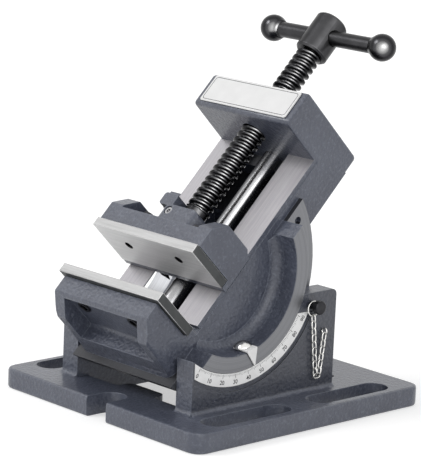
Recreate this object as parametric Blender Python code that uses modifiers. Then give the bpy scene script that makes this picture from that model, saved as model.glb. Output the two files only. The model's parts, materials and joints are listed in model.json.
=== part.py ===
# Tilting machine vise: a two-jaw vise whose body rolls between the two cheeks
# of a slotted base plate, about an axis above the plate, and is read on a dial.
# The vise stands at its 45 degree setting. Metres, +Z up, +Y to the back,
# +X to the side that carries the dial. The origin is on the ground under the
# middle of the whole vise, just behind the middle of its base plate.
#
# The sizes of the tilting body are given along its own two directions:
# "run" goes along the ways towards the handle, "rise" goes up from the ways,
# and both are counted from the tilt axis.

import math

import bmesh
import bpy
from mathutils import Matrix

# Clearances
seat_gap = 0.0003
running_gap = 0.0003
cut_overrun = 0.004
weld_distance = 0.00001
side_step_degrees = 5.0
corner_steps = 5
round_sides = 32
small_round_sides = 20

# Base plate
base_width = 0.200
base_centre_y = -0.0015
base_length = 0.210
base_thickness = 0.0142
base_corner_radius = 0.010
base_edge_round = 0.0018
side_slot_wall = 0.0084
side_slot_edge = 0.006
front_slot_outer_end = 0.085
front_slot_inner_end = 0.010
rear_slot_inner_end = 0.011
rear_slot_outer_end = 0.083
end_slot_width = 0.020
end_slot_depth = 0.0235
floor_opening_front = 0.071
floor_opening_rear = 0.071
floor_tongue_width = 0.036
floor_tongue_length = 0.012
floor_tongue_radius = 0.0054
floor_corner_radius = 0.004

# Cheeks that carry the tilting body
tilt_axis_from_centre = -0.041
tilt_axis_height = 0.1009
rest_setting_degrees = 45.0
cheek_thickness = 0.0153
cheek_front = -0.0797
post_behind_eye = 0.0126
post_top = 0.083
post_edge_radius = 0.004
cheek_foot_radius = 0.0032

# Cradle ring, side flange and index holes of the tilting body
drum_floor_gap = 0.0042
flange_depth = 0.0195
flange_end_drop = 0.0188
ring_thickness = 0.0108
ring_end_drop = 0.0180
core_inset = 0.0035
index_hole_inset = 0.0100
index_angle_degrees = -21.5
index_steps_degrees = (0.0, 45.0, 90.0)
index_hole_depth = 0.0038

# Dial strip in its recess
dial_recess_width = 0.0125
dial_recess_depth = 0.0013
dial_edge_land = 0.0036
dial_thickness = 0.0009
dial_front_wall = 0.0016
dial_top = 0.07035

# Ways, slot and hollow of the tilting body
way_rise = -0.01043
way_step = 0.0035
way_side_step = 0.0004
way_edge_land = 0.0008
way_edge_flare = 0.0068
slot_half_width = 0.02126
slot_front = -0.0400
way_front = -0.0363
hollow_side_wall = 0.0105
hollow_top = -0.017
hollow_wall = 0.0105
hollow_rear = 0.098
hollow_rear_floor = -0.033
window_margin = 0.0022
window_top = -0.0176
window_half_length = 0.030
window_corner = 0.005

# Nut block
block_front = 0.1068
block_rear = 0.1341
block_top = 0.0288
block_bottom = -0.0410
block_shelf_inset = 0.0095
block_corner_radius = 0.003
block_edge_round = 0.0015

# Jaw plates
jaw_width = 0.100
jaw_plate_height = 0.03975
jaw_plate_thickness = 0.0067
jaw_plate_bottom = -0.0055
fixed_face = -0.04108
jaw_opening = 0.03362
plate_screw_boss_gap = 0.0028
plate_screw_rise = 0.018
plate_screw_radius = 0.003
plate_screw_end_depth = 0.0016
screw_head_radius = 0.005
screw_head_height = 0.006
screw_socket_radius = 0.0029
screw_socket_depth = 0.003

# Fixed jaw head of the tilting body
head_top = 0.0298
head_front_top = -0.0605
head_slope_end_run = -0.0720
head_slope_end_rise = 0.0157
head_lip_run = -0.0725
head_lip_rise = -0.0050
head_chin_run = -0.0735
head_chin_rise = -0.0155
head_foot_run = -0.0752
head_root_run = -0.052
head_root_rise = -0.0160
head_root_depth = 0.0220
head_root_front = -0.0745
head_plan_radius = 0.008
head_corner_radius = 0.0025
head_lip_radius = 0.0012
pocket_screw_margin = 0.012
pocket_roof = 0.0270
pocket_back = -0.0600
pocket_back_foot = -0.0058
pocket_corner_radius = 0.003
pocket_ledge_fall = 0.0003
head_screw_seat = -0.0550

# Movable jaw
rib_thickness = 0.0129
rib_top = 0.0320
wing_screw_gap = 0.0080
wing_top_end = 0.0140
wing_corner_radius = 0.002
wing_slope_end_run = 0.0250
wing_slope_end_rise = 0.0220
wing_heel_rise = -0.0040
wing_heel_run = 0.0220
wing_heel_foot = -0.0080
sill_run = 0.0006
boss_half_width = 0.0172
boss_rear = 0.0296
boss_top = 0.0215
boss_corner_radius = 0.005
boss_plan_radius = 0.005
foot_web_rear = 0.025
foot_web_top = -0.0045
lug_outer = -0.0240
lug_inner = -0.0110
lug_front = 0.0290
lug_rear = 0.0386
lug_top = 0.0200
lug_corner_radius = 0.002
tongue_front = 0.0040
tongue_rear = 0.0240
tongue_bottom = -0.0315

# Guide rod
rod_radius = 0.0070
rod_rise = -0.0200
rod_socket_depth = 0.0080

# Spindle, hub and handle bar
spindle_rise = 0.0078
spindle_radius = 0.0090
spindle_front = 0.0140
neck_run = 0.0248
neck_radius = 0.0066
spindle_chamfer = 0.0012
spigot_radius = 0.0060
spigot_length = 0.0085
hub_radius = 0.0120
hub_front = 0.1780
hub_length = 0.0300
hub_chamfer = 0.0015
bar_radius = 0.0055
bar_run = 0.1945
bar_ball_spacing = 0.1055
bar_offset = 0.00425
ball_radius = 0.00975
ball_collar_radius = 0.0068
ball_collar_length = 0.0022
ball_socket_depth = 0.0050

# Retaining screw of the spindle and keeper screw beside the guide rod
retainer_radius = 0.0030
retainer_bottom = -0.0030
retainer_recess = 0.0008
keeper_offset = -0.0173
keeper_run = -0.0036
keeper_radius = 0.0024
keeper_thread_length = 0.0038
keeper_shank_drop = 0.0044
keeper_tip_length = 0.0090

# Name plate
label_side_margin = 0.0045
label_front = 0.1100
label_rear = 0.1323
label_thickness = 0.0008
label_corner_cut = 0.0012

# Pointer
pointer_thickness = 0.0009
pointer_half_width = 0.0045
pointer_tip_past_ring = 0.0002
pointer_setting_world_degrees = -75.0
pointer_tab_length = 0.0140
pointer_screw_offset = 0.0080
pointer_screw_radius = 0.0025
pointer_screw_head_radius = 0.0060
pointer_screw_head_height = 0.0034
pointer_screw_depth = 0.0070

# Lock pin, its ring and its chain
pin_radius = 0.0025
pin_head_radius = 0.0048
pin_head_length = 0.0040
pin_travel_in = 0.0025
pin_tip_chamfer = 0.0006
wire_radius = 0.0006
ring_mean_radius = 0.0052
chain_stand_off = 0.0026
link_inner_length = 0.00505
link_outer_width = 0.0045
chain_floor_gap = 0.010
eye_links_lower = 3
eye_behind_pin = 0.011545
eye_loop_radius = 0.0022
eye_shank_radius = 0.0010
eye_shank_depth = 0.0060
eye_hole_radius_gap = 0.0003

# Places that follow from the sizes above
rest_setting = math.radians(rest_setting_degrees)
side_on = (math.pi / 2, 0.0, math.pi / 2)
along_x = (0.0, math.pi / 2, 0.0)
along_y = (-math.pi / 2, 0.0, 0.0)
half_width = base_width / 2
half_length = base_length / 2
flange_half_width = jaw_width / 2
flange_radius = tilt_axis_height - base_thickness - drum_floor_gap
ring_radius = flange_radius - flange_depth
ring_inner_radius = ring_radius - ring_thickness
index_circle_radius = flange_radius - index_hole_inset
core_half_width = flange_half_width - core_inset
way_outer = core_half_width - way_side_step
hollow_half_width = core_half_width - hollow_side_wall
hollow_radius = flange_radius - hollow_wall
block_shelf_start = flange_radius - block_shelf_inset
cradle_radius = ring_radius + running_gap
dial_recess_radius = cradle_radius + dial_recess_width
dial_outer_radius = dial_recess_radius - dial_edge_land
cheek_inner = flange_half_width + running_gap
cheek_outer = cheek_inner + cheek_thickness
side_slot_inner = cheek_outer + side_slot_wall
side_slot_outer = half_width - side_slot_edge
side_slot_width = side_slot_outer - side_slot_inner
side_slot_centre = (side_slot_outer + side_slot_inner) / 2
plate_screw_spacing = 2 * (boss_half_width + screw_head_radius + plate_screw_boss_gap)
pocket_half_width = plate_screw_spacing / 2 + pocket_screw_margin
wing_inner = plate_screw_spacing / 2 + screw_head_radius + wing_screw_gap
label_length = 2 * (core_half_width - label_side_margin)
way_foot = way_rise - way_step
fixed_plate_back = fixed_face - jaw_plate_thickness
head_face = fixed_plate_back - seat_gap
movable_face = fixed_face + jaw_opening
movable_plate_back = movable_face + jaw_plate_thickness
rib_front = movable_plate_back + seat_gap
rib_rear = rib_front + rib_thickness
jaw_foot = way_rise + running_gap
jaw_plate_top = jaw_plate_bottom + jaw_plate_height
pin_angle = math.radians(index_angle_degrees)
pin_y = tilt_axis_from_centre + index_circle_radius * math.cos(pin_angle)
pin_z = tilt_axis_height + index_circle_radius * math.sin(pin_angle)
chain_x = cheek_outer + chain_stand_off
eye_y = pin_y + eye_behind_pin
post_rear = eye_y + post_behind_eye

parts = bpy.data.collections.new("tilting_machine_vise")
cutters = bpy.data.collections.new("cutters")


def clear_scene():
    for old in list(bpy.data.objects):
        bpy.data.objects.remove(old, do_unlink=True)
    bpy.context.scene.collection.children.link(parts)
    bpy.context.scene.collection.children.link(cutters)


def finish(name, colour, roughness, metallic):
    """A plain surface finish."""
    surface = bpy.data.materials.new(name)
    surface.use_nodes = True
    shader = surface.node_tree.nodes["Principled BSDF"]
    shader.inputs["Base Color"].default_value = (*colour, 1.0)
    shader.inputs["Roughness"].default_value = roughness
    shader.inputs["Metallic"].default_value = metallic
    surface.diffuse_color = (*colour, 1.0)
    return surface


def arc(centre, radius, start_degrees, end_degrees, step_degrees=side_step_degrees):
    """Points of an arc, as corners without a fillet."""
    count = max(2, math.ceil(abs(end_degrees - start_degrees) / step_degrees))
    points = []
    for index in range(count + 1):
        turn = math.radians(start_degrees + (end_degrees - start_degrees) * index / count)
        points.append((centre[0] + radius * math.cos(turn), centre[1] + radius * math.sin(turn), 0.0))
    return points


def rounded(corners, steps=corner_steps):
    """A closed outline whose corners (u, v, radius) are rounded."""
    outline = []
    for index, (u, v, radius) in enumerate(corners):
        if radius == 0.0:
            outline.append((u, v))
            continue
        before = corners[index - 1]
        after = corners[(index + 1) % len(corners)]
        to_before = (before[0] - u, before[1] - v)
        to_after = (after[0] - u, after[1] - v)
        length_before = math.hypot(*to_before)
        length_after = math.hypot(*to_after)
        unit_before = (to_before[0] / length_before, to_before[1] / length_before)
        unit_after = (to_after[0] / length_after, to_after[1] / length_after)
        between = math.acos(unit_before[0] * unit_after[0] + unit_before[1] * unit_after[1])
        setback = radius / math.tan(between / 2)
        middle = (unit_before[0] + unit_after[0], unit_before[1] + unit_after[1])
        reach = radius / math.sin(between / 2) / math.hypot(*middle)
        centre = (u + middle[0] * reach, v + middle[1] * reach)
        start = (u + unit_before[0] * setback - centre[0], v + unit_before[1] * setback - centre[1])
        end = (u + unit_after[0] * setback - centre[0], v + unit_after[1] * setback - centre[1])
        swing = math.atan2(start[0] * end[1] - start[1] * end[0], start[0] * end[0] + start[1] * end[1])
        for step in range(steps + 1):
            turn = swing * step / steps
            outline.append((
                centre[0] + start[0] * math.cos(turn) - start[1] * math.sin(turn),
                centre[1] + start[0] * math.sin(turn) + start[1] * math.cos(turn),
            ))
    return outline


def rectangle(low_u, low_v, high_u, high_v, radius=0.0):
    """Corners of an upright rectangle."""
    return [(low_u, low_v, radius), (high_u, low_v, radius),
            (high_u, high_v, radius), (low_u, high_v, radius)]


def tidy(mesh, flatten=True):
    """Weld the shape and merge the triangles that lie in one plane."""
    shape = bmesh.new()
    shape.from_mesh(mesh)
    bmesh.ops.remove_doubles(shape, verts=shape.verts, dist=weld_distance)
    if flatten:
        bmesh.ops.dissolve_limit(
            shape, angle_limit=math.radians(0.5), verts=shape.verts, edges=shape.edges, delimit={"NORMAL"})
    bmesh.ops.recalc_face_normals(shape, faces=shape.faces)
    shape.to_mesh(mesh)
    shape.free()


def mesh_of_curve(curve, flatten):
    """The closed mesh of a curve, which is then removed."""
    drawn = bpy.data.objects.new(curve.name, curve)
    parts.objects.link(drawn)
    shown = bpy.context.evaluated_depsgraph_get()
    mesh = bpy.data.meshes.new_from_object(drawn.evaluated_get(shown))
    bpy.data.objects.remove(drawn)
    bpy.data.curves.remove(curve)
    tidy(mesh, flatten)
    return mesh


def slab_mesh(name, outlines, thickness):
    """Flat outlines in the local XY plane, thickened both ways along Z."""
    curve = bpy.data.curves.new(name, "CURVE")
    curve.dimensions = "2D"
    curve.fill_mode = "BOTH"
    curve.extrude = thickness / 2
    for outline in outlines:
        spline = curve.splines.new("POLY")
        spline.points.add(len(outline) - 1)
        for point, (u, v) in zip(spline.points, outline):
            point.co = (u, v, 0.0, 1.0)
        spline.use_cyclic_u = True
    return mesh_of_curve(curve, True)


def wire_mesh(name, points, radius, closed):
    """A round wire along the points."""
    curve = bpy.data.curves.new(name, "CURVE")
    curve.dimensions = "3D"
    curve.bevel_depth = radius
    curve.bevel_resolution = 2
    curve.use_fill_caps = not closed
    spline = curve.splines.new("POLY")
    spline.points.add(len(points) - 1)
    for point, place in zip(spline.points, points):
        point.co = (*place, 1.0)
    spline.use_cyclic_u = closed
    return mesh_of_curve(curve, False)


def round_mesh(name, radius, length, sides=round_sides, end_radius=None):
    """A bar or a cone along Z, from 0 to its length."""
    shape = bmesh.new()
    far = radius if end_radius is None else end_radius
    bmesh.ops.create_cone(
        shape, cap_ends=True, segments=sides, radius1=radius, radius2=far, depth=length,
        matrix=Matrix.Translation((0.0, 0.0, length / 2)))
    mesh = bpy.data.meshes.new(name)
    shape.to_mesh(mesh)
    shape.free()
    return mesh


def box_mesh(name, low, high):
    """A box between two corners."""
    shape = bmesh.new()
    bmesh.ops.create_cube(shape, size=1.0)
    span = [high[axis] - low[axis] for axis in range(3)]
    middle = [(high[axis] + low[axis]) / 2 for axis in range(3)]
    bmesh.ops.transform(
        shape, matrix=Matrix.Translation(middle) @ Matrix.Diagonal((*span, 1.0)), verts=shape.verts)
    mesh = bpy.data.meshes.new(name)
    shape.to_mesh(mesh)
    shape.free()
    return mesh


def turned_mesh(name, profile, sides=round_sides):
    """A profile of (radius, height), top to bottom, turned about Z."""
    outline = bpy.data.meshes.new(name)
    outline.from_pydata([(radius, 0.0, height) for radius, height in profile],
                        [(index, index + 1) for index in range(len(profile) - 1)], [])
    turned = bpy.data.objects.new(name, outline)
    parts.objects.link(turned)
    screw = turned.modifiers.new("turn", "SCREW")
    screw.axis = "Z"
    screw.steps = sides
    screw.render_steps = sides
    screw.use_merge_vertices = True
    screw.merge_threshold = weld_distance
    shown = bpy.context.evaluated_depsgraph_get()
    mesh = bpy.data.meshes.new_from_object(turned.evaluated_get(shown))
    bpy.data.objects.remove(turned)
    bpy.data.meshes.remove(outline)
    tidy(mesh, False)
    return mesh


def place(name, mesh, surface=None, parent=None, location=(0.0, 0.0, 0.0), rotation=(0.0, 0.0, 0.0),
          smooth=False):
    """A named piece of the vise, or a cutter where it has no finish."""
    piece = bpy.data.objects.new(name, mesh)
    piece.location = location
    piece.rotation_euler = rotation
    piece.parent = stand if parent is None else parent
    if surface is None:
        cutters.objects.link(piece)
        piece.hide_render = True
        piece.display_type = "WIRE"
    else:
        parts.objects.link(piece)
        if not mesh.materials:
            mesh.materials.append(surface)
    if smooth:
        mesh.shade_smooth()
        mesh.set_sharp_from_angle(angle=math.radians(35.0))
    return piece


def guide(name, parent=None, location=(0.0, 0.0, 0.0), rotation=(0.0, 0.0, 0.0)):
    """An empty that carries the pieces of one moving body."""
    empty = bpy.data.objects.new(name, None)
    empty.location = location
    empty.rotation_euler = rotation
    empty.parent = stand if parent is None else parent
    parts.objects.link(empty)
    return empty


def combine(piece, other, operation):
    """Join to, cut from or share with another shape."""
    step = piece.modifiers.new(other.name, "BOOLEAN")
    step.operation = operation
    step.solver = "EXACT"
    step.object = other


def soften(piece, width, segments=2, limit_degrees=40.0):
    """Rounded edges."""
    edge = piece.modifiers.new("edge", "BEVEL")
    edge.width = width
    edge.segments = segments
    edge.limit_method = "ANGLE"
    edge.angle_limit = math.radians(limit_degrees)


def side_slab(name, corners, low_x, high_x, surface=None, parent=None):
    """An outline of (run, rise) corners, thickened from one X to the other."""
    mesh = slab_mesh(name, [rounded(corners)], high_x - low_x)
    return place(name, mesh, surface, parent, ((low_x + high_x) / 2, 0.0, 0.0), side_on)


clear_scene()
stand = bpy.data.objects.new("stand", None)
stand.location = (0.0, base_centre_y, 0.0)
parts.objects.link(stand)

enamel = finish("blue grey cast enamel", (0.115, 0.120, 0.145), 0.45, 0.2)
ground = finish("ground steel", (0.62, 0.62, 0.62), 0.34, 0.9)
bright = finish("polished steel rod", (0.72, 0.72, 0.73), 0.12, 1.0)
black_oxide = finish("black oxide steel", (0.030, 0.030, 0.032), 0.32, 0.7)
satin_black = finish("satin black steel", (0.090, 0.090, 0.095), 0.40, 0.6)
polished_ball = finish("polished dark steel", (0.22, 0.22, 0.23), 0.14, 0.9)
zinc = finish("bright zinc", (0.78, 0.78, 0.76), 0.25, 1.0)
dial_white = finish("dial white", (0.84, 0.84, 0.83), 0.40, 0.0)
plate_white = finish("plate white", (0.88, 0.88, 0.87), 0.35, 0.0)

# Joints: the body tilts, the jaw slides, the spindle turns, the bar slides
tilt_axis = guide("tilt_axis", None, (0.0, tilt_axis_from_centre, tilt_axis_height), (rest_setting, 0.0, 0.0))
jaw_slide = guide("jaw_slide", tilt_axis)
spindle_axis = guide("spindle_axis", jaw_slide, (0.0, 0.0, spindle_rise))
bar_axis = guide("bar_axis", spindle_axis, (bar_offset, bar_run, 0.0))
pin_axis = guide("pin_axis", None, (0.0, pin_y, pin_z))

# Base plate with its two cheeks
plate_outline = rounded(rectangle(-half_width, -half_length, half_width, half_length, base_corner_radius))
base = place("base", slab_mesh("base", [plate_outline], base_thickness), enamel, None,
             (0.0, 0.0, base_thickness / 2))
soften(base, base_edge_round)


def cradle_outline():
    """A cheek seen from the side: front wall, hollow for the ring, rear post."""
    front_angle = 360.0 - math.degrees(math.acos((cheek_front - tilt_axis_from_centre) / cradle_radius))
    rear_angle = 360.0 + math.degrees(math.asin((post_top - tilt_axis_height) / cradle_radius))
    hollow = arc((tilt_axis_from_centre, tilt_axis_height), cradle_radius, front_angle, rear_angle)
    return [(cheek_front, base_thickness / 2, 0.0), *hollow, (post_rear, post_top, post_edge_radius),
            (post_rear, base_thickness / 2, 0.0)]


for side, low, high in (("right", cheek_inner, cheek_outer), ("left", -cheek_outer, -cheek_inner)):
    cheek = side_slab("cheek_" + side, cradle_outline(), low, high)
    combine(base, cheek, "UNION")


def foot_outline(edge, direction):
    """The hollow fillet between a wall and the plate, past the given edge."""
    sunk = base_thickness / 2
    root = edge - direction * cheek_foot_radius
    corner = (edge + direction * cheek_foot_radius, base_thickness + cheek_foot_radius)
    sweep = arc(corner, cheek_foot_radius, 180.0, 270.0, 18.0)
    if direction < 0.0:
        sweep = arc(corner, cheek_foot_radius, 0.0, -90.0, 18.0)
    return [(root, sunk, 0.0), (root, base_thickness + cheek_foot_radius, 0.0), *sweep,
            (corner[0], sunk, 0.0)]


for side, direction in (("right", 1.0), ("left", -1.0)):
    foot = rounded(foot_outline(direction * cheek_outer, direction))
    length = post_rear - cheek_front
    fillet = place("foot_" + side, slab_mesh("foot_" + side, [foot], length), None, None,
                   (0.0, (post_rear + cheek_front) / 2, 0.0), (math.pi / 2, 0.0, 0.0))
    combine(base, fillet, "UNION")
    inner, outer = sorted((direction * cheek_inner, direction * cheek_outer))
    for end, edge, way in (("front", cheek_front, -1.0), ("rear", post_rear, 1.0)):
        toe = side_slab("toe_" + side + "_" + end, foot_outline(edge, way), inner, outer)
        combine(base, toe, "UNION")


def slot_outline(centre_x, low_y, high_y, width):
    """A slot with round ends, along Y."""
    half = width / 2
    return [(x, y) for x, y, _ in (
        arc((centre_x, high_y - half), half, 0.0, 180.0, 15.0)
        + arc((centre_x, low_y + half), half, 180.0, 360.0, 15.0))]


plate_holes = {
    "slot_front_right": slot_outline(
        side_slot_centre, -front_slot_outer_end, -front_slot_inner_end, side_slot_width),
    "slot_front_left": slot_outline(
        -side_slot_centre, -front_slot_outer_end, -front_slot_inner_end, side_slot_width),
    "slot_rear_right": slot_outline(
        side_slot_centre, rear_slot_inner_end, rear_slot_outer_end, side_slot_width),
    "slot_rear_left": slot_outline(
        -side_slot_centre, rear_slot_inner_end, rear_slot_outer_end, side_slot_width),
    "slot_front_end": slot_outline(
        0.0, -half_length - end_slot_width, -half_length + end_slot_depth, end_slot_width),
}
tongue_end = -floor_opening_front + floor_tongue_length
floor_corners = [
    (-cheek_inner, -floor_opening_front, floor_corner_radius),
    (-floor_tongue_width / 2, -floor_opening_front, floor_corner_radius),
    (-floor_tongue_width / 2, tongue_end, floor_tongue_radius),
    (floor_tongue_width / 2, tongue_end, floor_tongue_radius),
    (floor_tongue_width / 2, -floor_opening_front, floor_corner_radius),
    (cheek_inner, -floor_opening_front, floor_corner_radius),
    (cheek_inner, floor_opening_rear, floor_corner_radius),
    (-cheek_inner, floor_opening_rear, floor_corner_radius),
]
plate_holes["floor_opening"] = rounded(floor_corners)
for name, outline in plate_holes.items():
    hole = place(name, slab_mesh(name, [outline], base_thickness + 2 * cut_overrun), None, None,
                 (0.0, 0.0, base_thickness / 2))
    combine(base, hole, "DIFFERENCE")


def dial_band(inner_radius, outer_radius, front_y, top_z):
    """A band about the tilt axis, cut upright in front and level at the top."""
    centre = (tilt_axis_from_centre, tilt_axis_height)
    reach = front_y - tilt_axis_from_centre
    drop = top_z - tilt_axis_height
    inner_start = 360.0 - math.degrees(math.acos(reach / inner_radius))
    outer_start = 360.0 - math.degrees(math.acos(reach / outer_radius))
    inner_end = 360.0 + math.degrees(math.asin(drop / inner_radius))
    outer_end = 360.0 + math.degrees(math.asin(drop / outer_radius))
    return [*arc(centre, inner_radius, inner_start, inner_end),
            *arc(centre, outer_radius, outer_end, outer_start)]


dial_front = cheek_front + dial_front_wall
recess = side_slab(
    "dial_recess",
    dial_band(cradle_radius - cut_overrun, dial_recess_radius, dial_front, dial_top + seat_gap),
    cheek_outer - dial_recess_depth, cheek_outer + cut_overrun)
combine(base, recess, "DIFFERENCE")
dial_floor = cheek_outer - dial_recess_depth + seat_gap
side_slab("dial_strip", dial_band(cradle_radius, dial_outer_radius, dial_front + seat_gap, dial_top),
          dial_floor, dial_floor + dial_thickness, dial_white)

pin_hole = place(
    "pin_hole", round_mesh("pin_hole", pin_radius + running_gap, cheek_thickness + 2 * cut_overrun,
                           small_round_sides),
    None, None, (cheek_inner - cut_overrun, pin_y, pin_z), along_x)
combine(base, pin_hole, "DIFFERENCE")

# Tilting body: core, flange, ring, ways, nut block and fixed jaw head in one casting
body_outline = [
    (head_root_run, way_foot, 0.0),
    (head_root_run, -flange_end_drop, 0.0),
    (-math.sqrt(flange_radius ** 2 - flange_end_drop ** 2), -flange_end_drop, 0.0),
]
core_start = 180.0 + math.degrees(math.asin(flange_end_drop / flange_radius))
core_end = 360.0 - math.degrees(math.acos(block_shelf_start / flange_radius))
body_outline += arc((0.0, 0.0), flange_radius, core_start, core_end)[1:]
block_middle = (block_front + block_rear) / 2
body_outline += [
    (block_shelf_start, block_bottom, 0.0),
    (block_middle, block_bottom, 0.0),
    (block_middle, way_foot, 0.0),
]
body = side_slab("vise_body", body_outline, -core_half_width, core_half_width, enamel, tilt_axis)


def body_band(inner_radius, outer_radius, end_drop):
    """A band of the drum below the ways, cut level at both ends."""
    inner = math.degrees(math.asin(end_drop / inner_radius))
    outer = math.degrees(math.asin(end_drop / outer_radius))
    return [*arc((0.0, 0.0), inner_radius, 180.0 + inner, 360.0 - inner),
            *arc((0.0, 0.0), outer_radius, 360.0 - outer, 180.0 + outer)]


flange = side_slab("flange", body_band(ring_inner_radius, flange_radius, flange_end_drop),
                   -flange_half_width, flange_half_width, None, tilt_axis)
combine(body, flange, "UNION")
ring = side_slab("ring", body_band(ring_inner_radius, ring_radius, ring_end_drop),
                 -cheek_outer, cheek_outer, None, tilt_axis)
combine(body, ring, "UNION")

head_corners = [
    (fixed_face, head_root_rise, 0.0),
    (fixed_face, jaw_plate_bottom - seat_gap, 0.0),
    (head_face, jaw_plate_bottom - seat_gap, 0.0),
    (head_face, head_top, 0.0),
    (head_front_top, head_top, head_corner_radius),
    (head_slope_end_run, head_slope_end_rise, head_corner_radius),
    (head_lip_run, head_lip_rise, head_lip_radius),
    (head_chin_run, head_chin_rise, head_corner_radius),
    (head_foot_run, -flange_end_drop, 0.0),
    (head_root_front, -head_root_depth, 0.0),
    (head_root_run, -head_root_depth, 0.0),
    (head_root_run, head_root_rise, 0.0),
]
head = side_slab("jaw_head", head_corners, -core_half_width, core_half_width, None, tilt_axis)
head_plan = rounded([
    (-core_half_width, head_foot_run, head_plan_radius),
    (core_half_width, head_foot_run, head_plan_radius),
    (core_half_width, 0.0, 0.0),
    (-core_half_width, 0.0, 0.0),
])
head_height = head_top + head_root_depth + 2 * cut_overrun
plan = place("head_plan", slab_mesh("head_plan", [head_plan], head_height), None, tilt_axis,
             (0.0, 0.0, (head_top - head_root_depth) / 2))
combine(head, plan, "INTERSECT")
combine(body, head, "UNION")

block = side_slab(
    "nut_block",
    [(block_front, block_bottom, 0.0), (block_rear, block_bottom, block_corner_radius),
     (block_rear, block_top, block_corner_radius), (block_front, block_top, block_corner_radius)],
    -core_half_width, core_half_width, None, tilt_axis)
soften(block, block_edge_round)
combine(body, block, "UNION")

for side, low, high in (("right", slot_half_width, way_outer), ("left", -way_outer, -slot_half_width)):
    way = place("way_" + side,
                box_mesh("way_" + side, (low, way_front, way_foot - way_step),
                         (high, block_front + way_step, way_rise)), None, tilt_axis)
    combine(body, way, "UNION")

hollow_start = math.degrees(math.asin(-hollow_rear_floor / hollow_radius))
hollow_end = math.degrees(math.asin(-hollow_top / hollow_radius))
hollow_outline = [
    (hollow_rear, hollow_top, 0.0),
    (hollow_rear, hollow_rear_floor, 0.0),
    *arc((0.0, 0.0), hollow_radius, 360.0 - hollow_start, 180.0 + hollow_end),
]
hollow = side_slab("hollow", hollow_outline, -hollow_half_width, hollow_half_width, None, tilt_axis)
combine(body, hollow, "DIFFERENCE")
slot_foot = slot_half_width + way_edge_flare
slot_profile = [
    (-slot_half_width, way_rise + cut_overrun), (-slot_half_width, way_rise - way_edge_land),
    (-slot_foot, hollow_top), (-slot_foot, hollow_top - cut_overrun),
    (slot_foot, hollow_top - cut_overrun), (slot_foot, hollow_top),
    (slot_half_width, way_rise - way_edge_land), (slot_half_width, way_rise + cut_overrun),
]
slot = place("way_slot", slab_mesh("way_slot", [slot_profile], block_front - slot_front), None, tilt_axis,
             (0.0, (block_front + slot_front) / 2, 0.0), (math.pi / 2, 0.0, 0.0))
combine(body, slot, "DIFFERENCE")

window_radius = ring_inner_radius - window_margin
window_side = math.degrees(math.acos(window_half_length / window_radius))
window_outline = [
    (window_half_length, window_top, window_corner),
    *arc((0.0, 0.0), window_radius, 360.0 - window_side, 180.0 + window_side),
    (-window_half_length, window_top, window_corner),
]
window = side_slab("side_window", window_outline, -core_half_width - cut_overrun,
                   -hollow_half_width + cut_overrun, None, tilt_axis)
combine(body, window, "DIFFERENCE")

pocket_corners = [
    (pocket_back, pocket_roof, pocket_corner_radius),
    (pocket_back, pocket_back_foot, pocket_corner_radius),
    (head_lip_run - cut_overrun, head_lip_rise - pocket_ledge_fall, 0.0),
    (head_lip_run - cut_overrun, pocket_roof, 0.0),
]
pocket = side_slab("jaw_pocket", pocket_corners, -pocket_half_width, pocket_half_width, None, tilt_axis)
combine(body, pocket, "DIFFERENCE")

for index, setting in enumerate(index_steps_degrees):
    turn = math.radians(index_angle_degrees - setting)
    hole_run = index_circle_radius * math.cos(turn)
    hole_rise = index_circle_radius * math.sin(turn)
    name = "index_hole_" + str(index)
    hole = place(
        name, round_mesh(name, pin_radius + running_gap, index_hole_depth + cut_overrun, small_round_sides),
        None, tilt_axis, (flange_half_width - index_hole_depth, hole_run, hole_rise), along_x)
    combine(body, hole, "DIFFERENCE")

spindle_bore_start = block_front - cut_overrun
spindle_bore_length = block_rear - block_front + 2 * cut_overrun
spindle_bore = place(
    "nut_bore", round_mesh("nut_bore", spindle_radius + running_gap, spindle_bore_length),
    None, tilt_axis, (0.0, spindle_bore_start, spindle_rise), along_y)
combine(body, spindle_bore, "DIFFERENCE")
rod_start = slot_front - rod_socket_depth
rod_length = block_front + rod_socket_depth - rod_start
rod_bore = place(
    "rod_bore", round_mesh("rod_bore", rod_radius + seat_gap, rod_length),
    None, tilt_axis, (0.0, rod_start, rod_rise), along_y)
combine(body, rod_bore, "DIFFERENCE")

for side, centre in (("right", plate_screw_spacing / 2), ("left", -plate_screw_spacing / 2)):
    name = "head_screw_hole_" + side
    reach = head_face - pocket_back + 2 * cut_overrun
    hole = place(name, round_mesh(name, plate_screw_radius + seat_gap, reach, small_round_sides),
                 None, tilt_axis, (centre, pocket_back - cut_overrun, plate_screw_rise), along_y)
    combine(body, hole, "DIFFERENCE")
    name = "head_screw_seat_" + side
    seat_depth = head_screw_seat - pocket_back + cut_overrun
    seat = place(name, round_mesh(name, screw_head_radius + seat_gap, seat_depth, small_round_sides),
                 None, tilt_axis, (centre, pocket_back - cut_overrun, plate_screw_rise), along_y)
    combine(body, seat, "DIFFERENCE")

# Guide rod between the jaw head and the nut block
place("guide_rod", round_mesh("guide_rod", rod_radius, rod_length - 2 * seat_gap), bright, tilt_axis,
      (0.0, rod_start + seat_gap, rod_rise), along_y, True)

# Name plate on top of the nut block
label_half = label_length / 2
label_outline = [
    (-label_half + label_corner_cut, label_front), (label_half - label_corner_cut, label_front),
    (label_half, label_front + label_corner_cut), (label_half, label_rear - label_corner_cut),
    (label_half - label_corner_cut, label_rear), (-label_half + label_corner_cut, label_rear),
    (-label_half, label_rear - label_corner_cut), (-label_half, label_front + label_corner_cut),
]
place("name_plate", slab_mesh("name_plate", [label_outline], label_thickness), plate_white, tilt_axis,
      (0.0, 0.0, block_top + seat_gap + label_thickness / 2))


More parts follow.
